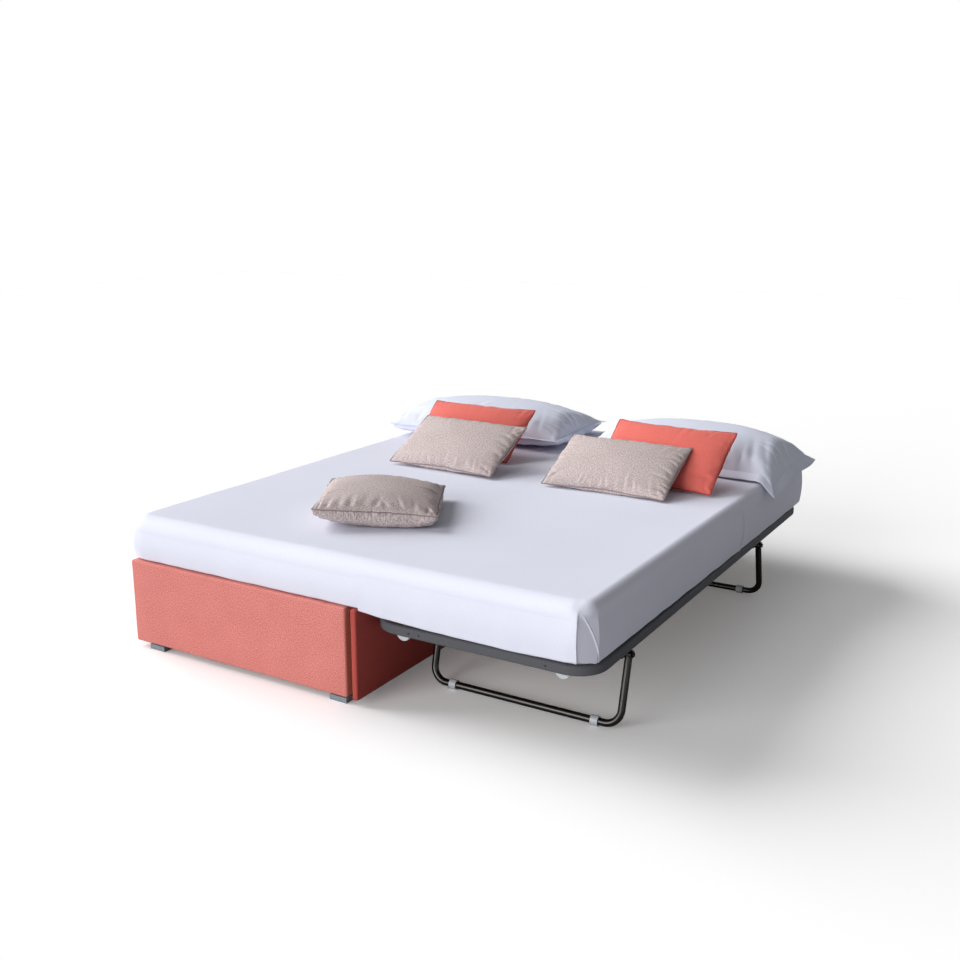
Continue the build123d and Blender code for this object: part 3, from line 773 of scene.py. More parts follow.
    def seam_wall(self, edge: Array, flat: Array, foot: Array) -> tuple[Array, Array]:
        """Hangs a flat wall from the edge in the seam's plane.

        Each edge point is joined by a straight line to a point of the wall's
        foot. The foot points keep the edge's own order and spacing, so the
        lines fan out at the ends without crossing.

        Args:
            edge: The edge's points, from one end round over the top to the other.
            flat: Their places on the flat cloth.
            foot: A point at the height of the wall's foot.

        Returns:
            The wall's points and flat places, one row for each edge point.
        """
        walked = np.concatenate([[0], np.cumsum(np.linalg.norm(np.diff(edge, axis=0), axis=1))])
        ends = edge[[0, -1]]
        below = ends[0] + (ends[1] - ends[0]) * (walked / walked[-1])[:, None]
        below[:, 2] = foot[2]
        share = np.linspace(0, 1, 15)[None, :, None]
        wall = edge[:, None] * (1 - share) + below[:, None] * share
        drop = np.linalg.norm(wall - edge[:, None], axis=2)
        wall_flat = np.stack(
            [flat[:, None, 0] - drop, np.repeat(flat[:, 1:], drop.shape[1], axis=1)], axis=-1
        )
        return wall, wall_flat


@dataclass(frozen=True)
class PaddedPanel:
    """A board's padded cover: soft edges, a slightly uneven face and a wrapped back rim.

    Attributes:
        node: The frame's solid that it replaces.
        facing: Which way its face looks.
        body: The body that it rides on.
        finish: Its cloth.
        corner: The radius of its four corners.
        shoulder: The radius of the edge round its face.
        heel: The radius of its back edge.
        rim: How far it goes on behind the board.
        puff: How far its face swells away from the edges.
        unevenness: The height of the padding's slow waves.
        seed: Chooses the waves.
        pinch_at: The place along X of a pinch in its top edge.
    """

    node: str
    facing: Facing
    body: str
    finish: WovenCloth = CORAL_UPHOLSTERY
    corner: float = 9 * MM
    shoulder: float = 8 * MM
    heel: float = 4 * MM
    rim: float = 3.6 * MM
    puff: float = 1.6 * MM
    unevenness: float = 0.6 * MM
    seed: int = 1
    pinch_at: float | None = None

    def relief(self, points: Array, down: Array) -> Array:
        """How far the padding stands out.

        It has a slow unevenness and swells away from its edges by the puff. One
        small pinch in the top edge shows where the cloth was folded in.
        """
        low, high = (np.array(end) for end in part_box(self.node))
        inner = np.ones(points.shape[:-1])
        for axis in range(3):
            if high[axis] - low[axis] > 0.1:
                near = np.minimum(points[..., axis] - low[axis], high[axis] - points[..., axis])
                inner *= smooth_step(near, -0.002, 0.05)
        uneven = 0.6 * waves(points, 0.25, self.seed) + 0.4 * waves(points, 0.07, self.seed + 1)
        swell = self.puff * (inner - 1) + self.unevenness * uneven
        if self.pinch_at is not None:
            across = (points[..., 0] - self.pinch_at) / (7 * MM)
            near_top = smooth_step(points[..., 2], high[2] - 0.03, high[2])
            swell -= 2.2 * MM * np.exp(-across ** 2) * near_top
        return swell * (1 - smooth_step(down, 0.5, 0.9))

    def build(self) -> None:
        """Makes the cover in the place of the frame's solid."""
        low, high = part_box(self.node)
        skin = BoxSkin(
            tuple(low), tuple(high), self.facing,
            self.corner, self.shoulder, self.heel, self.rim, 7 * MM,
        )
        points, faces, flat = skin.cloth(self.relief)
        new_piece(
            self.node + "_padded", points, [faces], self.finish, self.body,
            flat, (self.node,),
        )


# How far the pull-out's hem is raised: at places along X at the foot, and along Y on the right
FOOT_HEM = (
    (0.09, 0.17, 0.34, 0.60, 0.73, 0.7615, 0.774, 0.795),
    (0.032, 0.026, 0.020, 0.017, 0.021, 0.027, 0.016, 0.010),
)
RIGHT_HEM = ((-0.95, -0.68, -0.2, 0.4), (0.010, 0.008, 0.004, 0.0))


def pullout_lift(points: Array) -> Array:
    """How far the pull-out's hem is raised, in metres.

    At the foot the mattress reaches past its rail, so the cloth is drawn up from
    the rail's edge, most of all beside the box. Along the right it is drawn up
    near the foot and sinks to the rail towards the head.
    """
    x, y = points[..., 0], points[..., 1]
    foot = (1 - smooth_step(y, -0.94, -0.80)) * np.interp(x, *FOOT_HEM)
    right = smooth_step(x, 0.762, 0.788) * np.interp(y, *RIGHT_HEM)
    return np.maximum(foot, right)


def raised(points: Array, top: float, bottom: float, lift: Callable[[Array], Array]) -> Array:
    """Shortens the depth below the top so that the bottom rises by the lift."""
    points = points.copy()
    points[..., 2] = top - (top - points[..., 2]) * (1 - lift(points) / (top - bottom))
    return points


@dataclass(frozen=True)
class Mattress:
    """A foam mattress in ticking: two skins that meet halfway up its side.

    Attributes:
        node: The frame's solid that it replaces.
        body: The body that it rides on.
        lift: How far its underside is raised at each point.
        corner: The radius of its upright corners.
        top_round: The radius of its upper edge.
        under_round: The radius of its lower edge.
    """

    node: str
    body: str
    lift: Callable[[Array], Array] | None = None
    corner: float = 85 * MM
    top_round: float = 46 * MM
    under_round: float = 15 * MM

    def build(self) -> bpy.types.Object:
        """Makes the closed mattress in the place of the frame's solid."""
        low, high = (np.array(end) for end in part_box(self.node))
        middle = (low[2] + high[2]) / 2
        parts = []
        for facing, bottom, top, shoulder in (
            (Facing.UP, middle, high[2], self.top_round),
            (Facing.DOWN, low[2], middle, self.under_round),
        ):
            skin = BoxSkin(
                (low[0], low[1], bottom), (high[0], high[1], top), facing,
                self.corner, shoulder, 0.0, 0.0, 20 * MM,
            )
            parts.append(skin.cloth(None))
        points = np.concatenate([part[0] for part in parts])
        if self.lift is not None:
            points = raised(points, high[2], low[2] - 3 * MM, self.lift)
            points = raised(points, high[2], low[2], lambda spot: self.lift(spot) * 0.12)
        flat = np.concatenate([part[2] for part in parts])
        faces = np.concatenate([parts[0][1], parts[1][1] + len(parts[0][0])])
        return new_piece(
            self.node + "_filled", points, [faces], TICKING, self.body,
            flat, (self.node,),
        )


@dataclass(frozen=True)
class CornerFold:
    """A sheet's envelope corner: a crisp upright edge and a slanting fold behind it.

    Both lines start under the mattress's top corner and part on the way down.
    Below that point the rounded corner of the skin is drawn out to two planes:
    the foot's plane up to the edge, and a flat one from there to the side.

    Attributes:
        core: The middle of the round corner, in X and Y.
        radius: Its radius.
        edge: Where the crisp edge stands, in X and Y.
        end: Where the flat plane meets the side.
        edge_top: The height at which the edge starts.
        slant: The slanting fold's upper and lower ends, in Y and Z.
        lap: How far the foot's layer stands out at the edge.
        under: How much lower the pocket's layer lies.
    """

    core: tuple[float, float] = (0.7334, -0.945)
    radius: float = 62 * MM
    edge: tuple[float, float] = (0.7625, -1.007)
    end: tuple[float, float] = (0.7954, -0.955)
    edge_top: float = 0.412
    slant: tuple[tuple[float, float], tuple[float, float]] = ((-0.996, 0.408), (-0.953, 0.285))
    lap: float = 1.2 * MM
    under: float = 1.6 * MM

    def drawn_out(self, x: Array, y: Array) -> Array:
        """How far the planes lie outside the round corner, along its radius.

        A plane at a distance from the core is met by a ray at that distance over
        the cosine between the ray and the plane's normal. The nearest plane counts.
        """
        angle = np.arctan2(x - self.core[0], self.core[1] - y)
        along = np.array(self.end) - np.array(self.edge)
        normal = np.array([along[1], -along[0]]) / np.linalg.norm(along)
        away = float(normal @ (np.array(self.edge) - np.array(self.core)))
        planes = (
            self.radius / np.clip(np.cos(angle), 0.05, 1),
            away / np.clip(normal[0] * np.sin(angle) - normal[1] * np.cos(angle), 0.05, 1),
            self.radius / np.clip(np.sin(angle), 0.05, 1),
        )
        out = np.minimum(np.minimum(planes[0], planes[1]), planes[2]) - self.radius
        return np.where((angle > 0) & (angle < math.pi / 2), out, 0.0)

    def relief(self, points: Array) -> Array:
        """How far the fold's layers stand out.

        The foot's layer rises towards the upright edge and ends there in a
        small step. Behind it the pocket's layer lies a little lower, up to the
        slanting fold with its thin rolled edge.
        """
        x, y, z = points[..., 0], points[..., 1], points[..., 2]
        low = 1 - smooth_step(z, self.edge_top - 0.035, self.edge_top + 0.004)
        front = smooth_step(x, self.edge[0] - 0.05, self.edge[0] - 0.006)
        front = front * (x < self.edge[0]) * (y < -0.95)
        (y_top, z_top), (y_low, z_low) = self.slant
        line = y_top + (y_low - y_top) * (z_top - z) / (z_top - z_low)
        behind = (x > self.edge[0] - 1 * MM) * (y < -0.9) * (z < z_top)
        pocket = smooth_step(line - y, 0.0, 1.5 * MM) * self.under
        rolled = np.exp(-(((y - line) / (2.0 * MM)) ** 2)) * 1.1 * MM
        return low * (self.drawn_out(x, y) + front * self.lap + behind * (rolled - pocket))


@dataclass(frozen=True)
class FittedSheet:
    """A sheet pulled tight over a mattress and tucked under it.

    Attributes:
        node: The frame's solid that it replaces.
        body: The body that it rides on.
        mattress: The piece that it lies on; not used.
        facing: The direction of its seam.
        hem: The height of its lower end.
        tuck: How far it goes on under the mattress.
        lift: How far its lower end is raised at each point.
        fold: The envelope fold at its near corner.
        fine: Bands of finer grid.
        left_bulge: How far its left side swells out.
        creases: Single creases in its right side: place along Y, bow and depth.
        tight: The shoulder's radius along its right side.
        corner: The radius of its upright corners.
        shoulder: The radius of its upper edge.
        heel: The radius of its lower edge.
        bulge: How far its sides swell out.
    """

    node: str
    body: str
    mattress: str
    facing: Facing
    hem: float
    tuck: float = 0.0
    lift: Callable[[Array], Array] | None = None
    fold: CornerFold | None = None
    fine: tuple[tuple[int, float, float, float], ...] = ()
    left_bulge: float = 0.0
    creases: tuple[tuple[float, float, float], ...] = ()
    tight: float = 0.0
    corner: float = 62 * MM
    shoulder: float = 48 * MM
    heel: float = 8 * MM
    bulge: float = 5 * MM

    def tightened(self, fall: Array) -> Array:
        """How far the shoulder's arc must stand out to become the tight radius.

        A ray from the wide arc's middle meets the top, the side, or the small
        arc, whose middle lies outwards and upwards by the two radii's difference.
        """
        wide, inset = self.shoulder, self.shoulder - self.tight
        angle = np.arccos(np.clip(1 - fall / wide, 0, 1))
        level, upright = np.cos(angle), np.sin(angle)
        turn = level + upright
        rest = np.clip(self.tight ** 2 - inset ** 2 * (2 - turn ** 2), 0, None)
        arc = inset * turn + np.sqrt(rest)
        flat = wide / np.maximum(level, upright)
        outside = np.minimum(level, upright) * wide < inset * np.maximum(level, upright)
        return np.where(outside, flat, arc) - wide

    def relief(self, points: Array, down: Array) -> Array:
        """How far the cloth stands out.

        The top has slow hollows of under a millimetre, which both sheets take
        from one field so that they meet at the seam. The sides have weak
        upright tension folds that grow towards the tuck, and single creases.
        """
        around = points[..., :2]
        top = 0.8 * MM * waves(around, 0.45, 11)
        side = smooth_step(down, 0.2, 1.0)
        middle = np.sin(math.pi * np.clip(down, 0, 1))
        out = top * (1 - side) + (0.7 * MM * waves(around, 0.12, 12, 9) + 0.2 * MM) * side
        if self.tight:
            low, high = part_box(self.node)
            right = np.clip(points[..., 0] - high[0] + self.corner, 1e-9, None)
            ahead = np.clip(low[1] + self.corner - points[..., 1], 0, None)
            ahead = ahead + np.clip(points[..., 1] - high[1] + self.corner, 0, None)
            share = smooth_step(right ** 2 / (right ** 2 + ahead ** 2), 0.1, 1.0)
            out += self.tightened(down * (high[2] - self.hem)) * share
        if self.left_bulge:
            out += self.left_bulge * middle * smooth_step(-points[..., 0], 0.76, 0.80)
        for y, lean, deep in self.creases:
            across = (points[..., 1] - y - lean * np.sin(math.pi * down)) / (4 * MM)
            fold = 0.5 * np.exp(-(across - 1.6) ** 2) - np.exp(-across ** 2)
            out += deep * fold * smooth_step(down, 0.15, 0.35) * (points[..., 0] > 0.78)
        if self.fold is not None:
            out += self.fold.relief(points)
        return out

    def build(self) -> bpy.types.Object:
        """Makes the sheet in the place of the frame's solid."""
        low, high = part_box(self.node)
        skin = BoxSkin(
            (low[0], low[1], self.hem), tuple(high), self.facing, self.corner,
            self.shoulder, self.heel, self.tuck, 9 * MM, True, self.bulge, self.fine,
        )
        points, faces, flat = skin.cloth(self.relief)
        if self.lift is not None:
            points = raised(points, high[2], self.hem, self.lift)
        piece = new_piece(
            self.node + "_cloth", points, [faces], PERCALE, self.body,
            flat, (self.node,),
        )
        return piece


# Filled pillows and cushions


@dataclass(frozen=True)
class Lay:
    """Where a filled cover lies: its middle and its length and width directions."""

    middle: tuple[float, float, float]
    along: tuple[float, float, float]
    up: tuple[float, float, float]

    @staticmethod
    def flat_on(x: float, y: float, bottom: float, turn: float) -> "Lay":
        """Lays a cover flat: its underside at a height, turned by degrees."""
        angle = math.radians(turn)
        return Lay(
            (x, y, bottom),
            (math.cos(angle), math.sin(angle), 0.0),
            (-math.sin(angle), math.cos(angle), 0.0),
        )

    @staticmethod
    def leaning(x: float, y: float, bottom: float, turn: float, lean: float, width: float) -> "Lay":
        """Stands a cover on the middle of its near edge and leans it back by degrees."""
        angle, tilt = math.radians(turn), math.radians(lean)
        along = np.array([math.cos(angle), math.sin(angle), 0.0])
        back = np.array([-math.sin(angle), math.cos(angle), 0.0])
        up = back * math.cos(tilt) + np.array([0, 0, math.sin(tilt)])
        middle = np.array([x, y, bottom]) + up * width / 2
        return Lay(tuple(middle), tuple(along), tuple(up))

    def place(self, points: Array) -> Array:
        """Carries points from the cover's own frame to the row's."""
        along, up = np.array(self.along), np.array(self.up)
        return np.array(self.middle) + points @ np.stack([along, up, np.cross(along, up)])


def refined(layer: Array) -> Array:
    """Doubles a grid's points in both directions by the cubic B-spline rule.

    An old point becomes an eighth of each neighbour and three quarters of
    itself, a new one the middle of its two neighbours, and the ends stay.
    """
    for axis in (0, 1):
        old = np.moveaxis(layer, axis, 0)
        new = np.empty((2 * len(old) - 1, *old.shape[1:]))
        new[::2] = old
        new[2:-2:2] = (old[:-2] + 6 * old[1:-1] + old[2:]) / 8
        new[1::2] = (old[:-1] + old[1:]) / 2
        layer = np.moveaxis(new, 0, axis)
    return layer


@dataclass(frozen=True)
class Pleats:
    """Short folds that run in from a cover's seam, where the filling draws the cloth up.

    Attributes:
        spacing: The folds' middle distance along the seam.
        depth: Their middle depth.
        length: Their middle length.
        seed: Chooses their places and sizes.
        ends: How much deeper they are at the cover's short sides.
        fan: How far they turn towards the cover's middle.
    """

    spacing: float
    depth: float
    length: float
    seed: int
    ends: float = 1.0
    fan: float = 0.2

    def relief(self, flat: Array, half: Array) -> Array:
        """How far the folds stand out.

        Each fold is a narrow bell across its line, with a wider shallow rise
        beside it. It starts at nothing on the seam, is full after a few
        millimetres and fades away over its length.

        Args:
            flat: Places on the flat cover, from its middle.
            half: Half the cover's length and width.

        Returns:
            One height for each place.
        """
        chance = np.random.default_rng(self.seed)
        height = np.zeros(flat.shape[:-1])
        for axis in (0, 1):
            along = flat[..., 1 - axis]
            for side in (-1, 1):
                inward = half[axis] - side * flat[..., axis]
                count = max(2, int(2 * half[1 - axis] / self.spacing))
                shares = (np.arange(count) + chance.uniform(0.2, 0.8, count)) / count
                for share in shares:
                    start = (2 * share - 1) * half[1 - axis]
                    lean = chance.normal(0, 0.2) - self.fan * start / half[1 - axis]
                    wide = self.spacing * chance.uniform(0.14, 0.26)
                    long = self.length * chance.uniform(0.5, 1.3)
                    deep = self.depth * chance.uniform(0.3, 1.2) * (1.0 if axis else self.ends)
                    across = (along - start - lean * inward) / wide
                    fade = 1 - np.exp(-((inward / (0.22 * long)) ** 2))
                    fade = fade * np.exp(-((inward / long) ** 2))
                    fold = 0.6 * np.exp(-((across - 1.8) ** 2) / 2) - np.exp(-(across ** 2))
                    height += deep * fade * fold
        return height


@dataclass(frozen=True)
class FilledCover:
    """Two layers of cloth sewn round their edge and stuffed.

    The flat layers are cut with bowed edges and blown up by a cloth simulation,
    which draws the sides in. The result is brought to the finished size, made
    finer and given its pleats and seam.

    Attributes:
        name: The piece's name.
        node: The frame's solid that it replaces.
        body: The body that it rides on.
        slot: The record's material slot; not used.
        finish: Its cloth.
        length: Its finished length, border and all.
        width: Its finished width, border and all.
        height: Its finished height.
        lay: Where it lies.
        fill: How full it is, from 0 to 1; not used.
        pleats: The folds along its seam.
        step: The spacing of the flat layers' grid.
        belly: The lower layer's height as a share of the upper layer's.
        flange: The width of the flat border outside the seam.
        cut: How far the flat layers' sides bow out, as a share of their half width.
        trust: The simulated form's share in the result.
        draw: How far the plain form's sides are drawn in.
        ripple: The height of the border's waves.
        hang: How far the border hangs.
        full: The power of the plain form's crown; a small one gives steep sides.
        under: The power that flattens the lower layer.
        swell: How far the cloth swells out beside the seam.
        bead: How far from the seam it swells most.
        sag: How far the lower layer sags out under the weight.
        uneven: The height of slow waves in its outline.
        steep: The sine's share in the plain form's layout.
        droops: Whether it bends down over the pull-out's edge.
        tucked: The length of its first end that is pressed together.
        dip: How far its far end sinks into the bed.
        piping: The finish of a cord along the seam, dark to paint the seam's shade.
        pressure: The simulation's air pressure.
        stiffness: The simulated cloth's stiffness.
    """

    name: str
    node: str
    body: str
    slot: str
    finish: Finish
    length: float
    width: float
    height: float
    lay: Lay
    fill: float
    pleats: Pleats
    step: float = 9 * MM
    belly: float = 1.0
    flange: float = 0.0
    cut: float = 0.05
    trust: float = 0.6
    draw: float = 0.02
    ripple: float = 2 * MM
    hang: float = 24 * MM
    full: float = 0.3
    under: float = 1.0
    swell: float = 5 * MM
    bead: float = 12 * MM
    sag: float = 0.0
    uneven: float = 0.0
    steep: float = 0.0
    droops: bool = False
    tucked: float = 0.0
    dip: float = 0.0
    piping: Finish | None = None
    pressure: float = 2.6
    stiffness: float = 12.0

    def layers(self) -> tuple[Array, Array]:
        """Gives the two flat layers, rows by columns by three, crowned by 3 mm."""
        wide = int(self.length / self.step) + 1
        high = int(self.width / self.step) + 1
        u, v = np.meshgrid(np.linspace(-1, 1, wide), np.linspace(-1, 1, high))
        x = u * self.length / 2 * (1 + self.cut * self.width / self.length * (1 - v ** 2))
        y = v * self.width / 2 * (1 + self.cut * (1 - u ** 2))
        crown = 3 * MM * (1 - u ** 2) * (1 - v ** 2)
        return np.stack([x, y, crown], axis=-1), np.stack([x, y, -crown], axis=-1)

    @staticmethod
    def sewn(top: Array, under: Array) -> tuple[Array, Array, Array]:
        """Joins two layers at their edge.

        Returns:
            Points (the upper layer and then the lower layer's inside), faces,
            and the numbers of the seam's points in order round the edge.
        """
        high, wide = top.shape[:2]
        numbers = np.arange(wide * high).reshape(high, wide)
        inner = np.zeros((high, wide), dtype=bool)
        inner[1:-1, 1:-1] = True
        below = numbers.copy()
        below[inner] = wide * high + np.arange(inner.sum())
        upper_faces = grid_faces(high, wide)
        lower_faces = below.ravel()[upper_faces][:, ::-1]
        seam = np.concatenate(
            [numbers[0, :-1], numbers[:-1, -1], numbers[-1, :0:-1], numbers[:0:-1, 0]]
        )
        width = top.shape[-1]
        points = np.concatenate([top.reshape(-1, width), under[inner].reshape(-1, width)])
        return points, np.concatenate([upper_faces, lower_faces]), seam

    def parted(self, points: Array) -> tuple[Array, Array]:
        """Takes joined points apart into the two layers again."""
        rows, columns = self.layers()[0].shape[:2]
        top = points[:rows * columns].reshape(rows, columns, 3)
        under = top.copy()
        under[1:-1, 1:-1] = points[rows * columns:].reshape(rows - 2, columns - 2, 3)
        return top, under

    def start(self) -> bpy.types.Object:
        """Puts the flat layers in the scene with the cloth set up."""
        points, faces, _ = self.sewn(*self.layers())
        mesh = bpy.data.meshes.new(self.name + "_flat")
        mesh.from_pydata(points.tolist(), [], faces.tolist())
        cover = in_scene(self.name + "_flat", mesh)
        cloth = cover.modifiers.new("Cloth", "CLOTH")
        settings = cloth.settings
        settings.quality = 6
        settings.mass = 0.3
        settings.air_damping = 2.0
        settings.tension_stiffness = self.stiffness
        settings.compression_stiffness = self.stiffness
        settings.shear_stiffness = self.stiffness / 2
        settings.bending_stiffness = 0.35
        settings.use_pressure = True
        settings.uniform_pressure_force = self.pressure
        settings.effector_weights.gravity = 0.0
        cloth.collision_settings.use_collision = False
        return cover

    def plain_form(self) -> tuple[Array, Array]:
        """A crowned form without simulation.

        Places on the cloth are laid out by a sine, as far as the steep share says,
        so that they close up towards the seam where the cloth stands steeply. The
        height is a power of what one less the squared place gives, both ways
        multiplied, and thinned towards the corners. Each side is drawn in as a
        parabola.
        """
        rows, columns = self.layers()[0].shape[:2]
        u = np.linspace(-1, 1, columns)[None, :]
        v = np.linspace(-1, 1, rows)[:, None]
        u = (1 - self.steep) * u + self.steep * np.sin(math.pi / 2 * u)
        v = (1 - self.steep) * v + self.steep * np.sin(math.pi / 2 * v)
        crown = np.clip((1 - u ** 2) * (1 - v ** 2), 0, None) ** self.full
        crown = crown * (1 - 0.55 * np.abs(u * v) ** 3)
        x = u * (1 - self.draw * (1 - v ** 2))
        y = v * (1 - 1.4 * self.draw * (1 - u ** 2))
        return np.stack([x, y, crown], axis=-1), np.stack([x, y, -crown], axis=-1)

    def sized(self, top: Array, under: Array) -> tuple[Array, Array]:
        """Brings both layers to the finished size, with the seam low by the belly's share."""
        both = np.concatenate([top.reshape(-1, 3), under.reshape(-1, 3)])
        low, high = both.min(axis=0), both.max(axis=0)
        upper = self.height / (1 + self.belly)
        out = []
        for layer in (top, under):
            layer = (layer - (high + low) / 2) / ((high - low) / 2)
            layer[..., 0] *= self.length / 2 - self.flange
            layer[..., 1] *= self.width / 2 - self.flange
            layer[..., 2] *= np.where(layer[..., 2] > 0, upper, upper * self.belly)
            out.append(layer)
        return out[0], out[1]

    def swollen(self, layer: Array, flat: Array, half: Array, way: int) -> Array:
        """Adds the pleats, and lets the cloth swell out past the seam beside it.

        The outward push is the distance from the seam over a width times a
        falling exponential, for each side by itself, and nothing at corners.
        The lower layer also sags out under the weight. Slow waves in the plane
        keep the edges from being straight.
        """
        layer = layer.copy()
        rim = half - np.abs(flat) * half / np.abs(flat).reshape(-1, 2).max(axis=0)
        pushes = [(self.swell, self.bead)] + [(self.sag, 24 * MM)] * (way < 0)
        for axis in (0, 1):
            other = np.clip(1 - (np.abs(layer[..., 1 - axis]) / half[1 - axis]) ** 2, 0, 1)
            for most, wide in pushes:
                push = most * (rim[..., axis] / wide) * np.exp(1 - rim[..., axis] / wide)
                layer[..., axis] += np.sign(flat[..., axis]) * push * other
            layer[..., axis] += self.uneven * waves(flat, 0.07, self.pleats.seed + axis)
        normal = np.cross(np.gradient(layer, axis=1), np.gradient(layer, axis=0)) * way
        normal /= np.linalg.norm(normal, axis=-1, keepdims=True) + 1e-12
        return layer + normal * self.pleats.relief(flat * way, half)[..., None]

    def build(self, blown: Array | None) -> bpy.types.Object:
        """Makes the finished piece.

        Args:
            blown: The simulated points, or nothing for the plain form alone.

        Returns:
            The object.
        """
        forms = self.sized(*self.plain_form())
        if blown is not None:
            simulated = self.sized(*self.parted(blown))
            forms = tuple(
                self.trust * soft + (1 - self.trust) * plain
                for soft, plain in zip(simulated, forms)
            )
        flats = [refined(layer)[..., :2] for layer in self.layers()]
        half = np.array([self.length, self.width]) / 2
        fine = []
        lower = self.height * self.belly / (1 + self.belly)
        for layer, flat, way in zip(forms, flats, (1, -1)):
            layer = refined(layer)
            if way < 0:
                layer[..., 2] = -lower * np.clip(-layer[..., 2] / lower, 0, None) ** self.under
            fine.append(self.swollen(layer, flat, half, way))
        fine[1][[0, -1]], fine[1][:, [0, -1]] = fine[0][[0, -1]], fine[0][:, [0, -1]]
        own, faces, seam = self.sewn(*fine)
        if self.tucked:
            reach = self.length / 2 - self.tucked
            past = own[:, 0] < -reach
            own[past, 0] = -reach + (own[past, 0] + reach) * 0.4
        flat = self.sewn(*flats)[0]
        if self.flange:
            own, faces, flat = self.add_flange(own, faces, flat, seam)
        piece = new_piece(
            self.name, self.settled(own), [faces], self.finish, self.body, flat,
            (self.node,),
        )
        if self.piping is not None:
            self.add_piping(own[seam])
        return piece

    def settled(self, own: Array) -> Array:
        """Carries points to the row's frame, rests them on the bed and lets them droop."""
        own = own.copy()
        if abs(self.lay.up[2]) < 0.01:
            own[:, 2] += self.height * self.belly / (1 + self.belly)
            own[:, 2] -= self.dip * (0.5 + own[:, 0] / self.length)
        placed = self.lay.place(own)
        placed[:, 2] = soft_floor(placed[:, 2], BED_TOP + 0.6 * MM, 3 * MM)
        return drooped(placed) if self.droops else placed

    def add_piping(self, edge: Array) -> None:
        """Sews a thin round cord along the seam.

        Args:
            edge: The seam's points in the cover's own frame, in order.
        """
        radius, sides = 1.7 * MM, 8
        along = np.roll(edge, -1, axis=0) - np.roll(edge, 1, axis=0)
        out = np.stack([along[:, 1], -along[:, 0], 0 * along[:, 0]], axis=1)
        out /= np.linalg.norm(out, axis=1, keepdims=True) + 1e-9
        angle = np.arange(sides) / sides * 2 * math.pi
        ring = out[:, None] * (np.cos(angle)[:, None] + 0.7)
        ring = ring + np.array([0, 0, 1]) * np.sin(angle)[:, None]
        points = edge[:, None] + radius * ring
        numbers = np.arange(len(edge) * sides).reshape(-1, sides)
        numbers = np.vstack([numbers, numbers[:1]])
        numbers = np.hstack([numbers, numbers[:, :1]])
        corners = (numbers[:-1, :-1], numbers[1:, :-1], numbers[1:, 1:], numbers[:-1, 1:])
        walked = np.cumsum(np.linalg.norm(along, axis=1)) / 2
        flat = np.stack(np.broadcast_arrays(walked[:, None], radius * angle[None, :]), axis=-1)
        new_piece(
            self.name.replace("_filled", "_piping"), self.settled(points.reshape(-1, 3)),
            [np.stack([part.ravel() for part in corners], axis=1)],
            self.piping, self.body, flat,
        )

    def add_flange(
        self, points: Array, faces: Array, flat: Array, seam: Array
    ) -> tuple[Array, Array, Array]:
        """Adds a flat double border outside the seam.

        Each seam point steps outwards along the edge's own normal in the
        cover's plane, out over the top layer and back under it.
        """
        edge = points[seam]
        tangent = np.roll(edge, -2, axis=0) - np.roll(edge, 2, axis=0)
        out = np.stack([tangent[:, 1], -tangent[:, 0]], axis=1)
        out /= np.linalg.norm(out, axis=1, keepdims=True) + 1e-9
        half = np.array([self.length, self.width]) / 2 - self.flange
        closeness = np.exp(-np.linalg.norm(half - np.abs(edge[:, :2]), axis=1) / (18 * MM))
        out = out * (1 - closeness[:, None]) + np.sign(edge[:, :2]) * closeness[:, None]
        steps = np.array([0.25, 0.5, 0.75, 1.0, 1.0, 0.75, 0.5, 0.25, 0.0])
        rise = np.array([0.6, 0.5, 0.5, 0.3, -0.3, -0.5, -0.5, -0.6, -0.6]) * MM
        around = np.arange(len(seam)) / len(seam) * 2 * math.pi
        ring = np.stack([np.cos(around), np.sin(around)], axis=1) * 0.35
        ripple = self.ripple * waves(ring, 0.11, self.pleats.seed)
        rows = []
        for share, lift in zip(steps, rise):
            row = edge.copy()
            row[:, :2] += out * self.flange * share
            row[:, 2] += lift + share * ripple - share * self.hang * (1 - 0.5 * closeness)
            rows.append(row)
        strip = np.arange(9 * len(seam)).reshape(9, -1) + len(points)
        strip = np.concatenate([seam[None, :], strip])
        strip = np.hstack([strip, strip[:, :1]])
        corners = (strip[:-1, 1:], strip[:-1, :-1], strip[1:, :-1], strip[1:, 1:])
        border = np.stack([part.ravel() for part in corners], axis=1)
        rows_flat = [flat[seam] + out * self.flange * share for share in steps]
        return (
            np.concatenate([points, *rows]),
            np.concatenate([faces, border]),
            np.concatenate([flat, *rows_flat]),
        )


def soft_floor(heights: Array, floor: float, width: float) -> Array:
    """Raises heights to a floor with a rounded change over a width."""
    gap = (heights - floor) / width
    return floor + width * np.where(gap > 6, gap, np.log1p(np.exp(np.clip(gap, -30, 6))))


def drooped(points: Array) -> Array:
    """Bends what reaches past the pull-out's right edge down over its shoulder.

    Past the edge line the length is laid round an arc, up to 49 degrees, and
    goes straight on from there. The bend gets weaker towards the head.
    """
    edge, radius, most = 0.764, 0.036, 0.85
    over = np.clip(points[:, 0] - edge, 0, None)
    angle = np.minimum(over / radius, most)
    rest = over - radius * angle
    weight = 1 - 0.65 * smooth_step(points[:, 1], 0.42, 0.62)
    bent = points.copy()
    outward = edge + radius * np.sin(angle) + rest * np.cos(angle)
    bent[:, 0] = np.where(over > 0, outward, points[:, 0])
    bent[:, 2] -= radius * (1 - np.cos(angle)) + rest * np.sin(angle)
    return points + (bent - points) * weight[:, None]


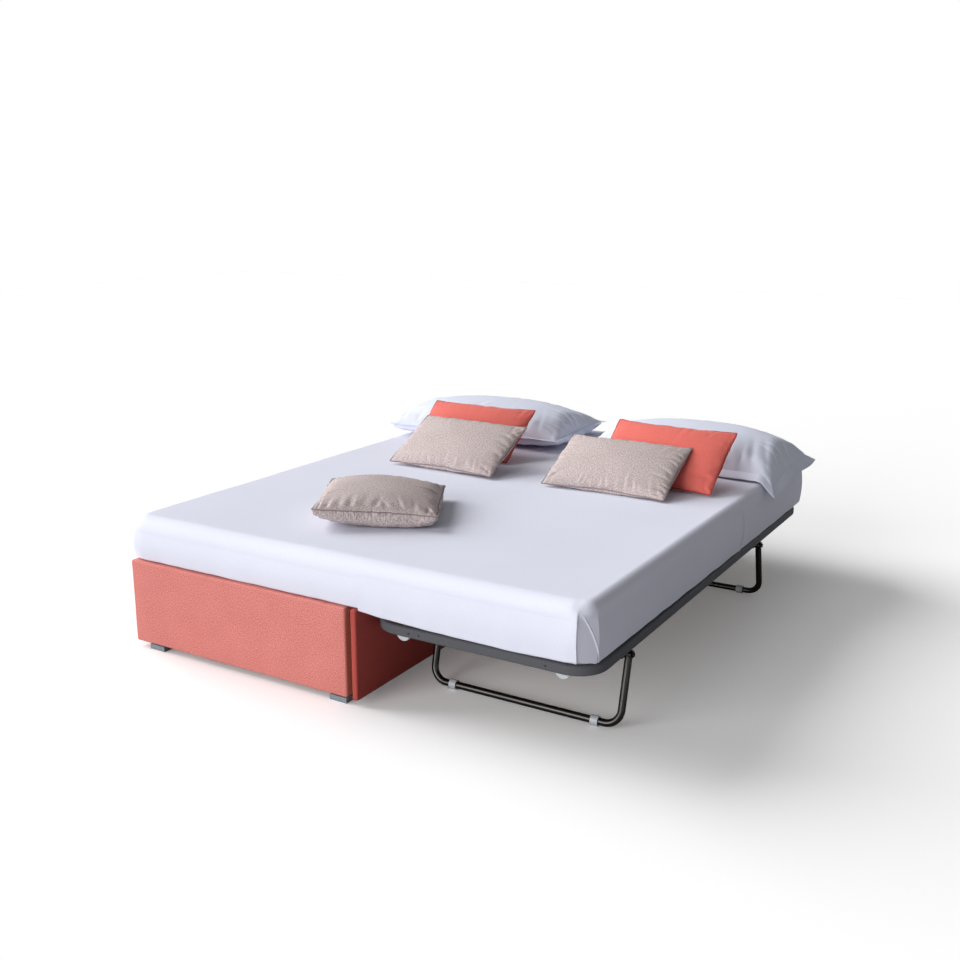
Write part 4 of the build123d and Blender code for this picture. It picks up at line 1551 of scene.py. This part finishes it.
def blow_up(covers: list[FilledCover]) -> list[Array | None]:
    """Runs the cloth simulation of all covers at once.

    Args:
        covers: The filled covers.

    Returns:
        The simulated points of each.
    """
    scene = bpy.context.scene
    flats = [cover.start() for cover in covers]
    blown: list[Array | None] = [None] * len(covers)
    for step in range(1, 41):
        scene.frame_set(step)
        graph = bpy.context.evaluated_depsgraph_get()
        for number, (cover, flat) in enumerate(zip(covers, flats)):
            if blown[number] is not None and np.ptp(blown[number][:, 2]) >= cover.height:
                continue
            mesh = flat.evaluated_get(graph).data
            points = np.empty(len(mesh.vertices) * 3, dtype=np.float32)
            mesh.vertices.foreach_get("co", points)
            blown[number] = points.reshape(-1, 3).astype(float)
            if np.ptp(blown[number][:, 2]) >= cover.height:
                log.info("%s is full at step %d", cover.name, step)
                flat.modifiers["Cloth"].show_viewport = False
    for flat in flats:
        mesh = flat.data
        bpy.data.objects.remove(flat)
        bpy.data.meshes.remove(mesh)
    scene.frame_set(1)
    return blown


def filled_covers() -> list[FilledCover]:
    """Lists the pillows and cushions with their sizes, places and finishes."""
    pillow = {"length": 820 * MM, "width": 490 * MM, "height": 145 * MM, "fill": 0.55,
              "belly": 0.28, "flange": 32 * MM, "finish": PILLOW_PERCALE, "slot": "bed_linen",
              "cut": 0.03, "trust": 0.45, "full": 0.5, "under": 0.6, "swell": 0.0}
    left_pillow = {**pillow, "flange": 14 * MM, "belly": 0.5, "hang": 0.0, "ripple": 1 * MM,
                   "under": 0.45, "sag": 20 * MM}
    cushion = {"length": 450 * MM, "width": 280 * MM, "height": 84 * MM, "fill": 0.7,
               "step": 7 * MM, "cut": 0.05, "trust": 0.4, "draw": 0.04, "steep": 0.5,
               "full": 0.45, "swell": 3 * MM, "bead": 7 * MM, "uneven": 1 * MM, "sag": 7 * MM}
    coral = {**cushion, "finish": CORAL_COTTON, "piping": CORAL_CORD_PAINTED_SHADE,
             "slot": "coral_cushion_fabric"}
    beige = {**cushion, "finish": BEIGE_LINEN, "piping": BEIGE_CORD_PAINTED_SHADE,
             "slot": "beige_cushion_fabric"}
    square = {**beige, "length": 374 * MM, "width": 374 * MM, "height": 118 * MM,
              "belly": 1.25, "cut": 0.06, "trust": 0.3, "draw": 0.035, "under": 0.45,
              "bead": 6 * MM, "sag": 8 * MM, "uneven": 0.6 * MM, "steep": 0.6, "dip": 20 * MM}

    def stood(x: float, y: float, rise: float, turn: float, lean: float) -> Lay:
        """Leans a cushion from the middle of its near edge, given in millimetres."""
        return Lay.leaning(x * MM, y * MM, BED_TOP + rise * MM, turn, lean, cushion["width"])

    def folds(
        spacing: float, depth: float, length: float, seed: int, ends: float = 1.0
    ) -> Pleats:
        """Gives pleats with their sizes in millimetres."""
        return Pleats(spacing * MM, depth * MM, length * MM, seed, ends)

    return [
        FilledCover("left_pillow_filled", "left_pillow", "main_bed",
                    lay=Lay.flat_on(-458 * MM, 685 * MM, BED_TOP, 2.0),
                    pleats=folds(58, 3.2, 120, 3, 1.4), tucked=70 * MM, **left_pillow),
        FilledCover("right_pillow_filled", "right_pillow", "pullout_bed",
                    lay=Lay.flat_on(448 * MM, 635 * MM, BED_TOP, 1.0),
                    pleats=folds(62, 2.8, 120, 8, 1.2), droops=True, **pillow),
        FilledCover("left_coral_filled", "left_coral_cushion", "main_bed",
                    lay=stood(-348, 198, 8, 0.8, 35.0),
                    pleats=folds(40, 1.6, 60, 11, 2.4), **coral),
        FilledCover("left_beige_filled", "left_beige_cushion", "main_bed",
                    lay=stood(-281, -23, 13, -2.6, 28.6),
                    pleats=folds(28, 2.0, 55, 12, 2.6), **beige),
        FilledCover("right_coral_filled", "right_coral_cushion", "pullout_bed",
                    lay=stood(466, 149, 9, -2.7, 37.5),
                    pleats=folds(40, 1.6, 60, 13, 2.4), **coral),
        FilledCover("right_beige_filled", "right_beige_cushion", "pullout_bed",
                    lay=stood(361, -11, 10, 0.4, 26.8),
                    pleats=folds(28, 2.0, 55, 14, 2.6), **beige),
        FilledCover("square_filled", "square_cushion", "main_bed",
                    lay=Lay.flat_on(-127 * MM, -585 * MM, BED_TOP, 29.0),
                    pleats=folds(34, 3.6, 60, 15), **square),
    ]


# The studio


@dataclass(frozen=True)
class Studio:
    """Camera, pale floor and soft light from the left with a broad fill from the front.

    Attributes:
        place: The camera's place.
        pitch: Its angle from looking straight down, in radians.
        yaw: Its turn to the left, in radians.
        lens: Its focal length in millimetres.
        key: The left lamp's strength.
        key_travel: The direction that its light goes.
        key_soft: The angle that it fills, in degrees.
        fill: The front lamp's strength.
        fill_travel: The direction that its light goes.
        fill_soft: The angle that it fills, in degrees.
        ambient: The strength of the light from all round.
        floor_half: Half the floor's side.
        floor_lit: The floor's colour for the light that it throws back on the beds.
        floor_seen: Its colour for the camera.
        floor_veil: The evenness that it shows besides, as a share of white.
    """

    place: tuple[float, float, float] = (1.8689, -3.3133, 1.3865)
    pitch: float = math.pi / 2 - 0.2462
    yaw: float = 0.5402
    lens: float = 41.569
    key: float = 3.4
    key_travel: tuple[float, float, float] = (0.863, 0.04, -0.5)
    key_soft: float = 45.0
    fill: float = 2.4
    fill_travel: tuple[float, float, float] = (0.33, 0.92, -0.22)
    fill_soft: float = 42.0
    ambient: float = 0.19
    floor_half: float = 14.0
    floor_lit: tuple[float, float, float, float] = (0.52, 0.52, 0.53, 1.0)
    floor_seen: tuple[float, float, float, float] = (0.99, 0.985, 0.99, 1.0)
    floor_veil: float = 0.11

    def camera(self) -> None:
        """Puts the camera where the photograph was taken from."""
        data = bpy.data.cameras.new("camera")
        data.lens = self.lens
        data.sensor_width = 36.0
        camera = in_scene("camera", data)
        camera.location = self.place
        camera.rotation_euler = (self.pitch, 0.0, self.yaw)
        bpy.context.scene.camera = camera

    def lamp(
        self, name: str, travel: tuple[float, float, float], power: float, soft: float
    ) -> None:
        """Adds a far lamp.

        Args:
            name: The lamp's name.
            travel: The direction that its light goes.
            power: Its strength in watts a square metre.
            soft: The angle that it fills in degrees.
        """
        data = bpy.data.lights.new(name, "SUN")
        data.energy = power
        data.angle = math.radians(soft)
        lamp = in_scene(name, data)
        lamp.rotation_euler = Vector(travel).to_track_quat("-Z", "Y").to_euler()

    def floor(self) -> None:
        """Lays a floor that looks white and still takes the shadow."""
        material = bpy.data.materials.new("studio_floor")
        tree = empty_tree(material)
        path = add_node(tree, "ShaderNodeLightPath").outputs["Is Camera Ray"]
        colour = add_node(
            tree, "ShaderNodeMix", {"data_type": "RGBA"},
            {6: self.floor_lit, 7: self.floor_seen}, {0: path},
        ).outputs[2]
        shade = add_node(tree, "ShaderNodeBsdfDiffuse", links={"Color": colour})
        veil = add_node(
            tree, "ShaderNodeMath", {"operation": "MULTIPLY"}, {1: self.floor_veil}, {0: path},
        ).outputs[0]
        glow = add_node(tree, "ShaderNodeEmission", links={"Strength": veil})
        both = add_node(
            tree, "ShaderNodeAddShader", links={0: shade.outputs[0], 1: glow.outputs[0]},
        )
        add_node(tree, "ShaderNodeOutputMaterial", links={"Surface": both.outputs[0]})
        mesh = bpy.data.meshes.new("floor")
        size = self.floor_half
        mesh.from_pydata(
            [(-size, -size, 0), (size, -size, 0), (size, size, 0), (-size, size, 0)],
            [], [(0, 1, 2, 3)],
        )
        mesh.materials.append(material)
        in_scene("floor", mesh)

    def world(self) -> None:
        """Shows white behind the beds and lights them weakly from all round."""
        world = bpy.data.worlds.new("studio")
        tree = empty_tree(world)
        path = add_node(tree, "ShaderNodeLightPath").outputs
        seen = add_node(
            tree, "ShaderNodeMath", {"operation": "MAXIMUM"},
            links={0: path["Is Camera Ray"], 1: path["Is Glossy Ray"]},
        ).outputs[0]
        seen = add_node(
            tree, "ShaderNodeMath", {"operation": "MAXIMUM"},
            links={0: seen, 1: path["Is Transmission Ray"]},
        ).outputs[0]
        strength = add_node(
            tree, "ShaderNodeMapRange", values={"To Min": self.ambient, "To Max": 1.0},
            links={"Value": seen},
        ).outputs["Result"]
        back = add_node(tree, "ShaderNodeBackground", links={"Strength": strength})
        back.inputs["Color"].default_value = (1.0, 1.0, 1.0, 1.0)
        add_node(tree, "ShaderNodeOutputWorld", links={"Surface": back.outputs[0]})
        bpy.context.scene.world = world

    def build(self) -> None:
        """Sets the studio up."""
        bpy.context.scene.view_settings.view_transform = "Standard"
        self.camera()
        self.floor()
        self.world()
        self.lamp("key", self.key_travel, self.key, self.key_soft)
        self.lamp("front_fill", self.fill_travel, self.fill, self.fill_soft)


def dress_frame_parts() -> None:
    """Gives each carried-over solid its finish."""
    for node, finish in CAD_FINISHES.items():
        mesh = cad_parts[node].data
        mesh.materials.clear()
        mesh.materials.append(finish.material())


def main() -> None:
    """Builds the studio and the dressed beds, piece by piece."""
    Studio().build()
    dress_frame_parts()
    for panel in (
        PaddedPanel("foot_panel_cover", Facing.FOOT, "main_bed", seed=1, pinch_at=-17 * MM),
        PaddedPanel("head_panel_cover", Facing.HEAD, "main_bed", seed=4),
        PaddedPanel("left_side_cover", Facing.LEFT, "main_bed", seed=7),
        # The front panel wears the coral darkened to paint its shade
        PaddedPanel(
            "front_panel_cover", Facing.RIGHT, "main_bed", SHADED_CORAL_UPHOLSTERY, corner=7 * MM,
            shoulder=6 * MM, heel=3 * MM, rim=1.8 * MM, puff=0.4 * MM,
            unevenness=0.4 * MM, seed=10,
        ),
    ):
        panel.build()
    Mattress("box_mattress", "main_bed").build()
    Mattress("pullout_mattress", "pullout_bed", pullout_lift).build()
    FittedSheet(
        "box_sheet", "main_bed", "box_mattress_filled", Facing.UP_TURNED, 290.8 * MM,
        left_bulge=10 * MM,
    ).build()
    FittedSheet(
        "pullout_sheet", "pullout_bed", "pullout_mattress_filled", Facing.UP, 250.8 * MM,
        tuck=32 * MM, lift=pullout_lift, fold=CornerFold(),
        fine=((0, 0.27, 0.50, 2.4 * MM), (1, -1.13, -0.88, 2.4 * MM), (1, 0.16, 0.25, 2.4 * MM)),
        creases=((0.155, 0.028, 5.5 * MM), (0.36, 0.02, 1.0 * MM), (0.60, -0.02, 0.8 * MM)),
        tight=28 * MM,
    ).build()
    covers = filled_covers()
    for cover, blown in zip(covers, blow_up(covers)):
        cover.build(blown)


if __name__ == "__main__":
    main()
